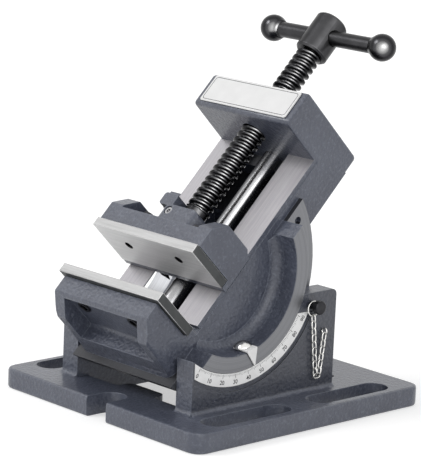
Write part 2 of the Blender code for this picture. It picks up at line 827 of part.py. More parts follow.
# Jaw plates and their screws
def jaw_plate(name, parent, near_face, towards_back):
    """A jaw plate whose gripping face is near_face."""
    far_face = near_face + towards_back * jaw_plate_thickness
    low, high = sorted((near_face, far_face))
    plate = place(name, box_mesh(name, (-jaw_width / 2, low, jaw_plate_bottom),
                                 (jaw_width / 2, high, jaw_plate_top)), ground, parent)
    soften(plate, seat_gap, 1)
    for side, centre in (("right", plate_screw_spacing / 2), ("left", -plate_screw_spacing / 2)):
        hole_name = name + "_hole_" + side
        hole = place(hole_name, round_mesh(hole_name, plate_screw_radius + seat_gap,
                                           jaw_plate_thickness + 2 * cut_overrun, small_round_sides),
                     None, parent, (centre, low - cut_overrun, plate_screw_rise), along_y)
        combine(plate, hole, "DIFFERENCE")
    return plate


def cap_screw_mesh(name, shank_length):
    """A socket head screw: shank up +Z from 0, head below."""
    profile = [
        (0.0, shank_length),
        (plate_screw_radius, shank_length),
        (plate_screw_radius, 0.0),
        (screw_head_radius, 0.0),
        (screw_head_radius, -screw_head_height),
        (screw_socket_radius, -screw_head_height),
        (screw_socket_radius, -screw_head_height + screw_socket_depth),
        (0.0, -screw_head_height + screw_socket_depth),
    ]
    return turned_mesh(name, profile, small_round_sides)


jaw_plate("fixed_jaw_plate", tilt_axis, fixed_face, -1.0)
jaw_plate("movable_jaw_plate", jaw_slide, movable_face, 1.0)
head_screw_reach = fixed_face - plate_screw_end_depth - (head_screw_seat - seat_gap)
rib_screw_reach = rib_rear + seat_gap - (movable_face + plate_screw_end_depth)
for side, centre in (("right", plate_screw_spacing / 2), ("left", -plate_screw_spacing / 2)):
    name = "fixed_plate_screw_" + side
    place(name, cap_screw_mesh(name, head_screw_reach), black_oxide, tilt_axis,
          (centre, head_screw_seat - seat_gap, plate_screw_rise), along_y, True)
    name = "movable_plate_screw_" + side
    place(name, cap_screw_mesh(name, rib_screw_reach), black_oxide, jaw_slide,
          (centre, rib_rear + seat_gap, plate_screw_rise), (math.pi / 2, 0.0, 0.0), True)

# Movable jaw: rib, two wings, spindle boss, lug and tongue in one casting
jaw_sill = movable_face + sill_run
movable = side_slab(
    "movable_jaw",
    [(jaw_sill, jaw_foot, 0.0), (rib_rear, jaw_foot, 0.0), (rib_rear, rib_top, 0.0),
     (rib_front, rib_top, 0.0), (rib_front, jaw_plate_bottom - seat_gap, 0.0),
     (jaw_sill, jaw_plate_bottom - seat_gap, 0.0)],
    -jaw_width / 2, jaw_width / 2, enamel, jaw_slide)
rib_middle = (rib_front + rib_rear) / 2
wing_corners = [
    (rib_middle, jaw_foot, 0.0), (rib_middle, rib_top, 0.0), (wing_top_end, rib_top, wing_corner_radius),
    (wing_slope_end_run, wing_slope_end_rise, wing_corner_radius), (wing_slope_end_run, wing_heel_rise, 0.0),
    (wing_heel_run, wing_heel_foot, 0.0), (wing_heel_run, jaw_foot, 0.0),
]
for side, low, high in (("right", wing_inner, jaw_width / 2), ("left", -jaw_width / 2, -wing_inner)):
    wing = side_slab("wing_" + side, wing_corners, low, high, None, jaw_slide)
    combine(movable, wing, "UNION")
boss_run = boss_rear - rib_middle
boss_profile = rounded([
    (-boss_half_width, jaw_foot, 0.0), (boss_half_width, jaw_foot, 0.0),
    (boss_half_width, boss_top, boss_corner_radius), (-boss_half_width, boss_top, boss_corner_radius)])
boss = place("spindle_boss", slab_mesh("spindle_boss", [boss_profile], boss_run), None, jaw_slide,
             (0.0, (boss_rear + rib_middle) / 2, 0.0), (math.pi / 2, 0.0, 0.0))
boss_plan = place("boss_plan", slab_mesh("boss_plan", [rounded([
    (-boss_half_width - cut_overrun, rib_front, 0.0), (boss_half_width, rib_front, 0.0),
    (boss_half_width, boss_rear, boss_plan_radius), (-boss_half_width - cut_overrun, boss_rear, 0.0)])],
    2 * (boss_top - jaw_foot)), None, jaw_slide, (0.0, 0.0, (boss_top + jaw_foot) / 2))
combine(boss, boss_plan, "INTERSECT")
combine(movable, boss, "UNION")
web = place("foot_web", box_mesh("foot_web", (-wing_inner - sill_run, rib_middle, jaw_foot),
                                 (wing_inner + sill_run, foot_web_rear, foot_web_top)), None, jaw_slide)
combine(movable, web, "UNION")
lug_plan = rounded([
    (lug_outer, lug_front, lug_corner_radius), (lug_inner, lug_front, 0.0),
    (lug_inner, lug_rear, lug_corner_radius), (lug_outer, lug_rear, lug_corner_radius)])
lug = place("rear_lug", slab_mesh("rear_lug", [lug_plan], lug_top - jaw_foot), None, jaw_slide,
            (0.0, 0.0, (lug_top + jaw_foot) / 2))
combine(movable, lug, "UNION")
tongue_half = slot_half_width - running_gap
tongue = place("way_tongue", box_mesh("way_tongue", (-tongue_half, tongue_front, tongue_bottom),
                                      (tongue_half, tongue_rear, jaw_foot + way_step)), None, jaw_slide)
combine(movable, tongue, "UNION")
journal_bore = place(
    "journal_bore", round_mesh("journal_bore", spindle_radius + running_gap,
                               lug_rear - spindle_front + running_gap + cut_overrun),
    None, jaw_slide, (0.0, spindle_front - running_gap, spindle_rise), along_y)
combine(movable, journal_bore, "DIFFERENCE")
slide_bore_length = tongue_rear - tongue_front + 2 * cut_overrun
slide_bore = place(
    "slide_bore", round_mesh("slide_bore", rod_radius + running_gap, slide_bore_length),
    None, jaw_slide, (0.0, tongue_front - cut_overrun, rod_rise), along_y)
combine(movable, slide_bore, "DIFFERENCE")
retainer_offset = -(neck_radius + running_gap + retainer_radius)
retainer_hole = place(
    "retainer_hole", round_mesh("retainer_hole", retainer_radius + seat_gap,
                                boss_top + cut_overrun - retainer_bottom + seat_gap, small_round_sides),
    None, jaw_slide, (retainer_offset, neck_run, retainer_bottom - seat_gap))
combine(movable, retainer_hole, "DIFFERENCE")
for side, centre in (("right", plate_screw_spacing / 2), ("left", -plate_screw_spacing / 2)):
    name = "rib_screw_hole_" + side
    hole = place(name, round_mesh(name, plate_screw_radius + seat_gap, rib_thickness + 2 * cut_overrun,
                                  small_round_sides),
                 None, jaw_slide, (centre, rib_front - cut_overrun, plate_screw_rise), along_y)
    combine(movable, hole, "DIFFERENCE")

# Retaining screw that runs across the spindle's neck
retainer_top = boss_top - retainer_recess
retainer_length = retainer_top - retainer_bottom
retainer_profile = [
    (0.0, retainer_length - screw_socket_depth / 2),
    (screw_socket_radius / 2, retainer_length - screw_socket_depth / 2),
    (screw_socket_radius / 2, retainer_length),
    (retainer_radius, retainer_length),
    (retainer_radius, 0.0),
    (0.0, 0.0),
]
place("spindle_retainer", turned_mesh("spindle_retainer", retainer_profile, small_round_sides), bright,
      jaw_slide, (retainer_offset, neck_run, retainer_bottom), (0.0, 0.0, 0.0), True)

# Spindle, hub and sliding handle bar
hub_rear = hub_front + hub_length
half_neck = retainer_radius + running_gap
spindle_profile = [
    (0.0, hub_front + spigot_length - spindle_front),
    (spigot_radius, hub_front + spigot_length - spindle_front),
    (spigot_radius, hub_front - seat_gap - spindle_front),
    (spindle_radius - spindle_chamfer, hub_front - seat_gap - spindle_front),
    (spindle_radius, hub_front - seat_gap - spindle_chamfer - spindle_front),
    (spindle_radius, neck_run + half_neck - spindle_front),
    (neck_radius, neck_run + half_neck - spindle_front),
    (neck_radius, neck_run - half_neck - spindle_front),
    (spindle_radius, neck_run - half_neck - spindle_front),
    (spindle_radius, spindle_chamfer),
    (spindle_radius - spindle_chamfer, 0.0),
    (0.0, 0.0),
]
place("spindle", turned_mesh("spindle", spindle_profile), black_oxide, spindle_axis,
      (0.0, spindle_front, 0.0), along_y, True)
hub_profile = [
    (0.0, hub_length),
    (hub_radius - hub_chamfer, hub_length),
    (hub_radius, hub_length - hub_chamfer),
    (hub_radius, hub_chamfer),
    (hub_radius - hub_chamfer, 0.0),
    (spigot_radius + seat_gap, 0.0),
    (spigot_radius + seat_gap, spigot_length + seat_gap),
    (0.0, spigot_length + seat_gap),
]
hub = place("handle_hub", turned_mesh("handle_hub", hub_profile), satin_black, spindle_axis,
            (0.0, hub_front, 0.0), along_y, True)
bar_hole = place("bar_hole", round_mesh("bar_hole", bar_radius + running_gap, 2 * (hub_radius + cut_overrun)),
                 None, spindle_axis, (-hub_radius - cut_overrun, bar_run, 0.0), along_x)
combine(hub, bar_hole, "DIFFERENCE")
collar_start = ball_radius - ball_socket_depth
bar_end = bar_ball_spacing / 2 - collar_start
place("handle_bar", round_mesh("handle_bar", bar_radius, 2 * bar_end), satin_black, bar_axis,
      (-bar_end, 0.0, 0.0), along_x, True)


def ball_mesh(name):
    """A ball with a short collar and a socket for the bar's end, facing -Z."""
    collar_reach = math.sqrt(ball_radius ** 2 - ball_collar_radius ** 2)
    profile = []
    bottom = math.degrees(math.asin(-collar_reach / ball_radius))
    for radius, height, _ in arc((0.0, 0.0), ball_radius, 90.0, bottom, 12.0):
        profile.append((max(radius, 0.0), height))
    profile += [
        (ball_collar_radius, -collar_reach - ball_collar_length),
        (bar_radius + seat_gap, -collar_reach - ball_collar_length),
        (bar_radius + seat_gap, -collar_start + seat_gap),
        (0.0, -collar_start + seat_gap),
    ]
    profile[0] = (0.0, ball_radius)
    return turned_mesh(name, profile, small_round_sides)


for side, direction in (("right", 1.0), ("left", -1.0)):
    name = "handle_ball_" + side
    place(name, ball_mesh(name), polished_ball, bar_axis, (direction * bar_ball_spacing / 2, 0.0, 0.0),
          (0.0, direction * math.pi / 2, 0.0), True)

# Pointer: a bent strip held to the inside of the ring by a domed screw
pointer_turn = math.radians(pointer_setting_world_degrees) - rest_setting
pointer_axis = guide("pointer_axis", tilt_axis, (0.0, 0.0, 0.0), (pointer_turn, 0.0, 0.0))
tab_top = math.sqrt((ring_inner_radius - seat_gap) ** 2 - pointer_half_width ** 2) - seat_gap
tab_bottom = tab_top - pointer_thickness
pointer_low_x = cheek_outer + seat_gap
pointer_high_x = pointer_low_x + pointer_thickness
pointer_corners = [
    (tab_bottom, -pointer_half_width, 0.0), (tab_top, -pointer_half_width, 0.0),
    (ring_radius + pointer_tip_past_ring, 0.0, 0.0), (tab_top, pointer_half_width, 0.0),
    (tab_bottom, pointer_half_width, 0.0),
]
pointer = side_slab("pointer", pointer_corners, pointer_low_x, pointer_high_x, dial_white, pointer_axis)
tab = place("pointer_tab", box_mesh("pointer_tab", (pointer_high_x - pointer_tab_length, tab_bottom,
                                                    -pointer_half_width),
                                    (pointer_high_x - seat_gap, tab_top, pointer_half_width)),
            None, pointer_axis)
combine(pointer, tab, "UNION")
pointer_screw_x = cheek_outer - pointer_screw_offset
tab_hole = place("tab_hole", round_mesh("tab_hole", pointer_screw_radius + seat_gap,
                                        pointer_thickness + 2 * cut_overrun, small_round_sides),
                 None, pointer_axis, (pointer_screw_x, tab_bottom - cut_overrun, 0.0), along_y)
combine(pointer, tab_hole, "DIFFERENCE")
screw_top = ring_inner_radius + pointer_screw_depth
ring_hole = place("ring_screw_hole", round_mesh("ring_screw_hole", pointer_screw_radius + seat_gap,
                                                pointer_screw_depth + cut_overrun, small_round_sides),
                  None, pointer_axis, (pointer_screw_x, ring_inner_radius - cut_overrun, 0.0), along_y)
combine(body, ring_hole, "DIFFERENCE")
dome_start = tab_bottom - seat_gap
dome_chord = pointer_screw_head_radius ** 2 + pointer_screw_head_height ** 2
dome_radius = dome_chord / (2 * pointer_screw_head_height)
dome_half_angle = math.degrees(math.asin(pointer_screw_head_radius / dome_radius))
dome = arc((0.0, dome_radius - pointer_screw_head_height), dome_radius, -90.0 + dome_half_angle, -90.0, 9.0)
pointer_screw_profile = [
    (0.0, screw_top - seat_gap - dome_start),
    (pointer_screw_radius, screw_top - seat_gap - dome_start),
    (pointer_screw_radius, 0.0),
    *[(max(radius, 0.0), height) for radius, height, _ in dome],
]
pointer_screw_profile[-1] = (0.0, -pointer_screw_head_height)
place("pointer_screw", turned_mesh("pointer_screw", pointer_screw_profile, small_round_sides), zinc,
      pointer_axis, (pointer_screw_x, dome_start, 0.0), along_y, True)

# Keeper screw under the movable jaw, its cone in the slot beside the guide rod
keeper_seat = jaw_foot + keeper_thread_length
keeper_tip = jaw_foot - keeper_shank_drop - keeper_tip_length
keeper_hole = place("keeper_hole", round_mesh("keeper_hole", keeper_radius + seat_gap,
                                              keeper_thread_length + cut_overrun, small_round_sides),
                    None, jaw_slide, (keeper_offset, keeper_run, jaw_foot - cut_overrun))
combine(movable, keeper_hole, "DIFFERENCE")
keeper_profile = [
    (0.0, keeper_seat - seat_gap - keeper_tip),
    (keeper_radius, keeper_seat - seat_gap - keeper_tip),
    (keeper_radius, keeper_tip_length),
    (0.0, 0.0),
]
place("keeper_screw", turned_mesh("keeper_screw", keeper_profile, small_round_sides), zinc, jaw_slide,
      (keeper_offset, keeper_run, keeper_tip), (0.0, 0.0, 0.0), True)

# Lock pin, standing just clear of the flange
pin_tip = cheek_inner + seat_gap
pin_head_start = chain_x + wire_radius + pin_travel_in + seat_gap
pin_length = pin_head_start - pin_tip
pin_profile = [
    (0.0, pin_length + pin_head_length),
    (pin_head_radius - pin_tip_chamfer, pin_length + pin_head_length),
    (pin_head_radius, pin_length + pin_head_length - pin_tip_chamfer),
    (pin_head_radius, pin_length),
    (pin_radius, pin_length),
    (pin_radius, pin_tip_chamfer),
    (pin_radius - pin_tip_chamfer, 0.0),
    (0.0, 0.0),
]
place("lock_pin", turned_mesh("lock_pin", pin_profile, small_round_sides), black_oxide, pin_axis,
      (pin_tip, 0.0, 0.0), along_x, True)

# Ring round the pin and chain down to the screw eye
ring_points = [(0.0, y, z) for y, z, _ in arc((0.0, 0.0), ring_mean_radius, 0.0, 345.0, 15.0)]
ring_centre_z = pin_z + pin_radius + seat_gap + wire_radius - ring_mean_radius
place("pin_ring", wire_mesh("pin_ring", ring_points, wire_radius, True), zinc, None,
      (chain_x, pin_y, ring_centre_z), (0.0, 0.0, 0.0), True)

link_half_width = link_outer_width / 2 - wire_radius
link_half_straight = link_inner_length / 2 + wire_radius - link_half_width
link_outline = [(u, v) for u, v, _ in (
    arc((link_half_straight, 0.0), link_half_width, -90.0, 90.0, 45.0)
    + arc((-link_half_straight, 0.0), link_half_width, 90.0, 270.0, 45.0))]
link_points = [(0.0, v, u) for u, v in link_outline]
link_mesh = wire_mesh("chain_link", link_points, wire_radius, True)
# A link edge-on to the cheek turns on its own end wires, one flat to it on those of its neighbours
edge_span = 2 * (link_half_straight + link_half_width)
flat_play = link_half_width - 2 * wire_radius - seat_gap
flat_span = 2 * (link_half_straight + flat_play)
chain_top = (pin_y, ring_centre_z - ring_mean_radius + 2 * wire_radius + seat_gap)
# As many pairs of links as hang clear of the plate, and one edge-on link more
chain_room = chain_top[1] - base_thickness - chain_floor_gap
links_down = 2 * math.floor(chain_room / (edge_span + flat_span)) + 1
links_up = links_down - eye_links_lower
down_length = sum(edge_span if index % 2 == 0 else flat_span for index in range(links_down))
up_length = sum(edge_span if index % 2 == 0 else flat_span for index in range(links_up))
eye_drop = sum(edge_span if index % 2 == 0 else flat_span for index in range(links_down - links_up))
eye_low_z = chain_top[1] - eye_drop
eye_low = (eye_y, eye_low_z)
# The lowest link lies level between the two straight runs
meet = (eye_low[0] - flat_span, eye_low[1])
across = (meet[0] - chain_top[0], meet[1] - chain_top[1])
distance = math.hypot(*across)
along = (down_length ** 2 - up_length ** 2 + distance ** 2) / (2 * distance)
aside = math.sqrt(down_length ** 2 - along ** 2)
unit = (across[0] / distance, across[1] / distance)
low_point = (chain_top[0] + unit[0] * along + unit[1] * aside,
             chain_top[1] + unit[1] * along - unit[0] * aside)
chain_run = []


def hang(start, end, count, first_is_edge):
    """Links along a straight run, each turned a quarter from the last."""
    length = math.hypot(end[0] - start[0], end[1] - start[1])
    heading = ((end[0] - start[0]) / length, (end[1] - start[1]) / length)
    reached = 0.0
    for index in range(count):
        edge_on = (index % 2 == 0) == first_is_edge
        span = edge_span if edge_on else flat_span
        middle = reached + span / 2
        chain_run.append((start[0] + heading[0] * middle, start[1] + heading[1] * middle, heading, edge_on))
        reached += span


hang(chain_top, low_point, links_down, True)
low_end = (low_point[0] + flat_span, low_point[1])
hang(low_point, low_end, 1, False)
hang(low_end, eye_low, links_up, True)
for index, (y, z, heading, edge_on) in enumerate(chain_run):
    lean = math.atan2(-heading[0], heading[1])
    spin = math.pi / 2 if edge_on else 0.0
    link = place("chain_link_" + str(index + 1).zfill(2), link_mesh, zinc, None, (chain_x, y, z), smooth=True)
    link.rotation_mode = "QUATERNION"
    link.rotation_quaternion = (Matrix.Rotation(lean, 4, "X") @ Matrix.Rotation(spin, 4, "Z")).to_quaternion()

# Screw eye in the rear post
eye_centre_z = eye_low_z + eye_loop_radius
eye_points = [(x, 0.0, z) for x, z, _ in arc((0.0, 0.0), eye_loop_radius, 0.0, 340.0, 20.0)]
eye = place("chain_eye", wire_mesh("chain_eye", eye_points, wire_radius, True), zinc, None,
            (chain_x, eye_y, eye_centre_z), (0.0, 0.0, 0.0), True)
shank_end = chain_x - eye_loop_radius
shank_length = shank_end - cheek_outer + eye_shank_depth
shank = place("eye_shank", round_mesh("eye_shank", eye_shank_radius, shank_length, small_round_sides),
              None, None, (shank_end - shank_length, eye_y, eye_centre_z), along_x)
combine(eye, shank, "UNION")
eye_hole = place("eye_hole", round_mesh("eye_hole", eye_shank_radius + eye_hole_radius_gap,
                                        eye_shank_depth + seat_gap + cut_overrun, small_round_sides),
                 None, None, (cheek_outer - eye_shank_depth - seat_gap, eye_y, eye_centre_z), along_x)
combine(base, eye_hole, "DIFFERENCE")
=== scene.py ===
# Tilting machine vise on its 45 degree setting, dressed on its solids:
# enamelled castings, ground ways and jaw plates, blackened screw, dial and chain.
# Metres, +Z up. "Body" sizes go (x, run, rise): run along the ways towards the
# handle, rise up from the ways, both counted from the tilt axis.

import json
import math

import bmesh
import bpy
from mathutils import Matrix, Vector


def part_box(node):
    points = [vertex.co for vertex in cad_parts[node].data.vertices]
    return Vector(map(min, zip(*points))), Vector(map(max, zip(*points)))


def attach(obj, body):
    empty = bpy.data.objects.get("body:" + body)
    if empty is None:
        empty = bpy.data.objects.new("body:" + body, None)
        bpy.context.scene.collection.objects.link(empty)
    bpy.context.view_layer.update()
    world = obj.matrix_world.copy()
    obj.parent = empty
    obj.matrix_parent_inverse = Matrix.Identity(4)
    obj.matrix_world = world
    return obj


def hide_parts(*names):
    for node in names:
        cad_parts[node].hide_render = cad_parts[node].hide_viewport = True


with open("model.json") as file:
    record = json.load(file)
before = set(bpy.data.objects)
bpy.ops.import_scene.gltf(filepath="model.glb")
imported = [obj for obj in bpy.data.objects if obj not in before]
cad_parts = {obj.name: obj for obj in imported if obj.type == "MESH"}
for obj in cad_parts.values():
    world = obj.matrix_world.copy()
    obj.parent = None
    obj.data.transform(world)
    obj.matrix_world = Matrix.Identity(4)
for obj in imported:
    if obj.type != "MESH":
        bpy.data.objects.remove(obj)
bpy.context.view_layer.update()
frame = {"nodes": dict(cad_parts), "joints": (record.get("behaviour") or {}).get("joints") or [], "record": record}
nodes = frame["nodes"]
joints = {joint["name"]: joint for joint in frame["joints"]}
carriedBy = {name: body for body, names in frame["record"]["behaviour"]["bodies"].items() for name in names}

mm = 0.001
weldDistance = 0.01 * mm
fineWeld = 0.001 * mm
flatAngle = math.radians(0.5)  # faces that bend less are one flat
turnedSharp = math.radians(35)  # turned pieces are smooth up to this bend
tiltAxis = Vector(joints["body_tilt"]["pos_m"])
restTilt = math.radians(45)
bodyPlace = Matrix.Translation(tiltAxis) @ Matrix.Rotation(restTilt, 4, "X")
bodyLocal = bodyPlace.inverted()


# ---- small helpers
def linear(code):
    # sRGB hex to the linear colour that the shaders take
    channels = [int(code[i:i + 2], 16) / 255 for i in (0, 2, 4)]
    return tuple(c / 12.92 if c <= 0.04045 else ((c + 0.055) / 1.055) ** 2.4 for c in channels) + (1.0,)


def perSize(size):
    # texture scale whose pattern repeats about once in that many millimetres
    return 1 / (size * mm)


def addNode(tree, kind, settings=None, inputs=None):
    # one node with its settings, its values and its links
    node = tree.nodes.new(kind)
    for name, value in (settings or {}).items():
        if name == "stops":
            while len(node.color_ramp.elements) < len(value):
                node.color_ramp.elements.new(1.0)
            for element, (position, code) in zip(node.color_ramp.elements, value):
                element.position, element.color = position, linear(code)
        else:
            setattr(node, name, value)
    for name, value in (inputs or {}).items():
        if isinstance(value, bpy.types.NodeSocket):
            tree.links.new(value, node.inputs[name])
        else:
            node.inputs[name].default_value = value
    return node


def newFinish(name, values):
    # a material with its shader, and its constants set on the shader's own sockets
    finish = bpy.data.materials.new(name)
    finish.use_nodes = True
    tree = finish.node_tree
    tree.nodes.clear()
    shader = addNode(tree, "ShaderNodeBsdfPrincipled", None, values)
    addNode(tree, "ShaderNodeOutputMaterial", None, {"Surface": shader.outputs["BSDF"]})
    return finish, tree, shader


def bodyCoordinates(tree):
    # Object coordinates turned to (x, run, rise) from the tilt axis
    place = addNode(tree, "ShaderNodeTexCoord").outputs["Object"]
    return addNode(tree, "ShaderNodeMapping", {"vector_type": "POINT"}, {
        "Vector": place, "Rotation": (-restTilt, 0, 0), "Location": bodyLocal.to_translation()}).outputs["Vector"]


def bump(tree, shader, height, depth, edge):
    # relief in millimetres over an edge that is rounded by that many millimetres
    rounded = addNode(tree, "ShaderNodeBevel", {"samples": 4}, {"Radius": edge * mm})
    relief = addNode(tree, "ShaderNodeBump", None, {
        "Height": height, "Distance": depth * mm, "Strength": 1.0, "Normal": rounded.outputs["Normal"]})
    tree.links.new(relief.outputs["Normal"], shader.inputs["Normal"])


def wornEdge(tree, reach, start, end):
    # 0 on flats, 1 within reach of an edge, where a widely rounded normal turns away from the true one
    wide = addNode(tree, "ShaderNodeBevel", {"samples": 6}, {"Radius": reach * mm})
    flat = addNode(tree, "ShaderNodeNewGeometry").outputs["Normal"]
    match = addNode(tree, "ShaderNodeVectorMath", {"operation": "DOT_PRODUCT"}, {0: wide.outputs["Normal"], 1: flat})
    return addNode(tree, "ShaderNodeMapRange", None, {
        "Value": match.outputs["Value"], "From Min": 1 - start, "From Max": 1 - end,
        "To Min": 0.0, "To Max": 1.0}).outputs["Result"]


# ---- camera, floor and light
studio = {
    "camera": (1.23674067, -1.17357474, 0.48593703),
    "cameraTurn": (1.35643032, -0.0427844, 0.82486488),
    "lens": 218.7576, "sensor": 36.0, "nearest": 0.05, "farthest": 100.0,
    "skyLevel": 0.60,
    "keyLevel": 1.15, "keyTurn": (48, 0, -38), "keySpread": 24,
    "fillLevel": 0.53, "fillTurn": (66, 0, 70), "fillSpread": 45,
    "frontLevel": 0.16, "frontTurn": (70, 0, 46), "frontSpread": 30,
    "floorRadius": 9.0, "floorSides": 96, "floorColour": "d4d4d4", "floorLift": 0.50,
}

camera = bpy.data.cameras.new("photoCamera")
camera.sensor_fit, camera.sensor_width, camera.lens = "HORIZONTAL", studio["sensor"], studio["lens"]
camera.clip_start, camera.clip_end = studio["nearest"], studio["farthest"]
cameraObject = bpy.data.objects.new("photoCamera", camera)
cameraObject.location, cameraObject.rotation_euler = studio["camera"], studio["cameraTurn"]
bpy.context.scene.collection.objects.link(cameraObject)
bpy.context.scene.camera = cameraObject
bpy.context.scene.view_settings.view_transform = "Standard"

for name in ("key", "fill", "front"):
    lamp = bpy.data.lights.new(name + "Sun", "SUN")
    lamp.energy, lamp.angle = studio[name + "Level"], math.radians(studio[name + "Spread"])
    lampObject = bpy.data.objects.new(name + "Sun", lamp)
    lampObject.rotation_euler = [math.radians(turn) for turn in studio[name + "Turn"]]
    bpy.context.scene.collection.objects.link(lampObject)


def seenByLenses(tree):
    # 1 for what the camera, metal and glass see, 0 for the light that falls on things
    path = addNode(tree, "ShaderNodeLightPath").outputs
    seen = addNode(tree, "ShaderNodeMath", {"operation": "MAXIMUM"}, {
        0: path["Is Camera Ray"], 1: path["Is Glossy Ray"]})
    seen = addNode(tree, "ShaderNodeMath", {"operation": "MAXIMUM"}, {
        0: seen.outputs[0], 1: path["Is Transmission Ray"]})
    return seen.outputs[0]


sky = bpy.data.worlds.new("studioSky")
bpy.context.scene.world = sky
sky.use_nodes = True
tree = sky.node_tree
tree.nodes.clear()
# white where it is seen, and a plain level where it lights
level = addNode(tree, "ShaderNodeMapRange", None, {
    "Value": seenByLenses(tree), "To Min": studio["skyLevel"], "To Max": 1.0})
light = addNode(tree, "ShaderNodeBackground", None, {
    "Color": linear("ffffff"), "Strength": level.outputs["Result"]})
addNode(tree, "ShaderNodeOutputWorld", None, {"Surface": light.outputs["Background"]})

# pale floor: its own shading with a lift towards white for the camera, which keeps the vise's shadow
floorFinish, tree, shader = newFinish("paleStudioFloor", {
    "Roughness": 0.9, "Base Color": linear(studio["floorColour"]), "Emission Color": linear("ffffff")})
lift = addNode(tree, "ShaderNodeMath", {"operation": "MULTIPLY"}, {0: seenByLenses(tree), 1: studio["floorLift"]})
tree.links.new(lift.outputs[0], shader.inputs["Emission Strength"])
shape = bmesh.new()
bmesh.ops.create_circle(shape, cap_ends=True, segments=studio["floorSides"],
                         radius=studio["floorRadius"])
floorMesh = bpy.data.meshes.new("studioFloor")
shape.to_mesh(floorMesh)
shape.free()
floorMesh.materials.append(floorFinish)
floor = bpy.data.objects.new("studioFloor", floorMesh)
bpy.context.scene.collection.objects.link(floor)
print("camera, floor and light ready")

# ---- finishes
enamel = {
    "light": "4c515f", "dark": "414553", "speck": "6c717e", "thinPaintAndHighlight": "858b98",
    # the right cheek's side: darker tones as painted shade
    "cheekLight": "3a3e4a", "cheekDark": "30333e", "cheekSpeck": "484c59", "cheekEdgeWearAndHighlight": "565b68",
    "cloudSize": 26, "sandSize": 2.6, "gritSize": 2.2, "darkAt": 0.3, "lightAt": 0.7,
    "speckFrom": 0.52, "speckFull": 0.72, "speckShare": 0.75,
    "pebbleDepth": 0.55, "edgeRound": 0.8, "glossy": 0.32, "matt": 0.55, "lacquer": 0.5, "lacquerBlur": 0.22,
    # paler edges: partly paint thinning, partly a painted highlight
    "wearAndHighlightReach": 1.4, "wearAndHighlightStart": 0.02, "wearAndHighlightFull": 0.14, "wearAndHighlightShare": 0.45,
}
cutMetal = {"detail": 4.0, "roughness": 0.7, "cloudSize": 18, "darkAt": 0.32, "lightAt": 0.68}
coating = {"cloudSize": 9, "darkAt": 0.3, "lightAt": 0.7}
glossAt = {"From Min": 0.3, "From Max": 0.7}  # noise values between which the gloss changes


def castEnamel(name, light, dark, speckTone, wearAndHighlightTone):
    # blue-grey enamel sprayed on sand-cast iron: soft pebbling from the sand under
    # the paint, cloudy tone, paler specks on the pebbles' tops that are a painted highlight,
    # and paler edges that are partly paint thinning over them and partly a painted highlight.
    # The sand is near 1 mm, too fine at this distance, so it is drawn at 2 to 3 mm.
    finish, tree, shader = newFinish(name, {
        "Metallic": 0.0, "Coat Weight": enamel["lacquer"], "Coat Roughness": enamel["lacquerBlur"]})
    place = addNode(tree, "ShaderNodeTexCoord").outputs["Object"]
    cloud = addNode(tree, "ShaderNodeTexNoise", None, {
        "Vector": place, "Scale": perSize(enamel["cloudSize"]), "Detail": 4.0})
    sand = addNode(tree, "ShaderNodeTexNoise", None, {
        "Vector": place, "Scale": perSize(enamel["sandSize"]), "Detail": 4.0, "Roughness": 0.7})
    grit = addNode(tree, "ShaderNodeTexVoronoi", {"feature": "SMOOTH_F1"}, {
        "Vector": place, "Scale": perSize(enamel["gritSize"])})
    tone = addNode(tree, "ShaderNodeValToRGB", {
        "stops": [(enamel["darkAt"], dark), (enamel["lightAt"], light)]}, {"Fac": cloud.outputs["Fac"]})
    # paler specks where the sand noise is high, the same noise that raises the bumps: a painted highlight on the
    # pebbles' tops
    speck = addNode(tree, "ShaderNodeMapRange", None, {
        "Value": sand.outputs["Fac"], "From Min": enamel["speckFrom"], "From Max": enamel["speckFull"],
        "To Min": 0.0, "To Max": enamel["speckShare"]})
    specked = addNode(tree, "ShaderNodeMix", {"data_type": "RGBA"}, {
        "Factor": speck.outputs["Result"], 6: tone.outputs["Color"], 7: linear(speckTone)})
    height = addNode(tree, "ShaderNodeMath", {"operation": "ADD"}, {
        0: sand.outputs["Fac"], 1: grit.outputs["Distance"]})
    bump(tree, shader, height.outputs[0], enamel["pebbleDepth"], enamel["edgeRound"])
    # paler edges: partly paint thinning, partly a painted highlight on their rounding
    wearAndHighlight = addNode(tree, "ShaderNodeMath", {"operation": "MULTIPLY"}, {
        0: wornEdge(tree, enamel["wearAndHighlightReach"], enamel["wearAndHighlightStart"], enamel["wearAndHighlightFull"]), 1: enamel["wearAndHighlightShare"]})
    colour = addNode(tree, "ShaderNodeMix", {"data_type": "RGBA"}, {
        "Factor": wearAndHighlight.outputs[0], 6: specked.outputs[2], 7: linear(wearAndHighlightTone)})
    gloss = addNode(tree, "ShaderNodeMapRange", None, {
        "Value": sand.outputs["Fac"], "To Min": enamel["glossy"], "To Max": enamel["matt"]})
    tree.links.new(colour.outputs[2], shader.inputs["Base Color"])
    tree.links.new(gloss.outputs["Result"], shader.inputs["Roughness"])
    return finish


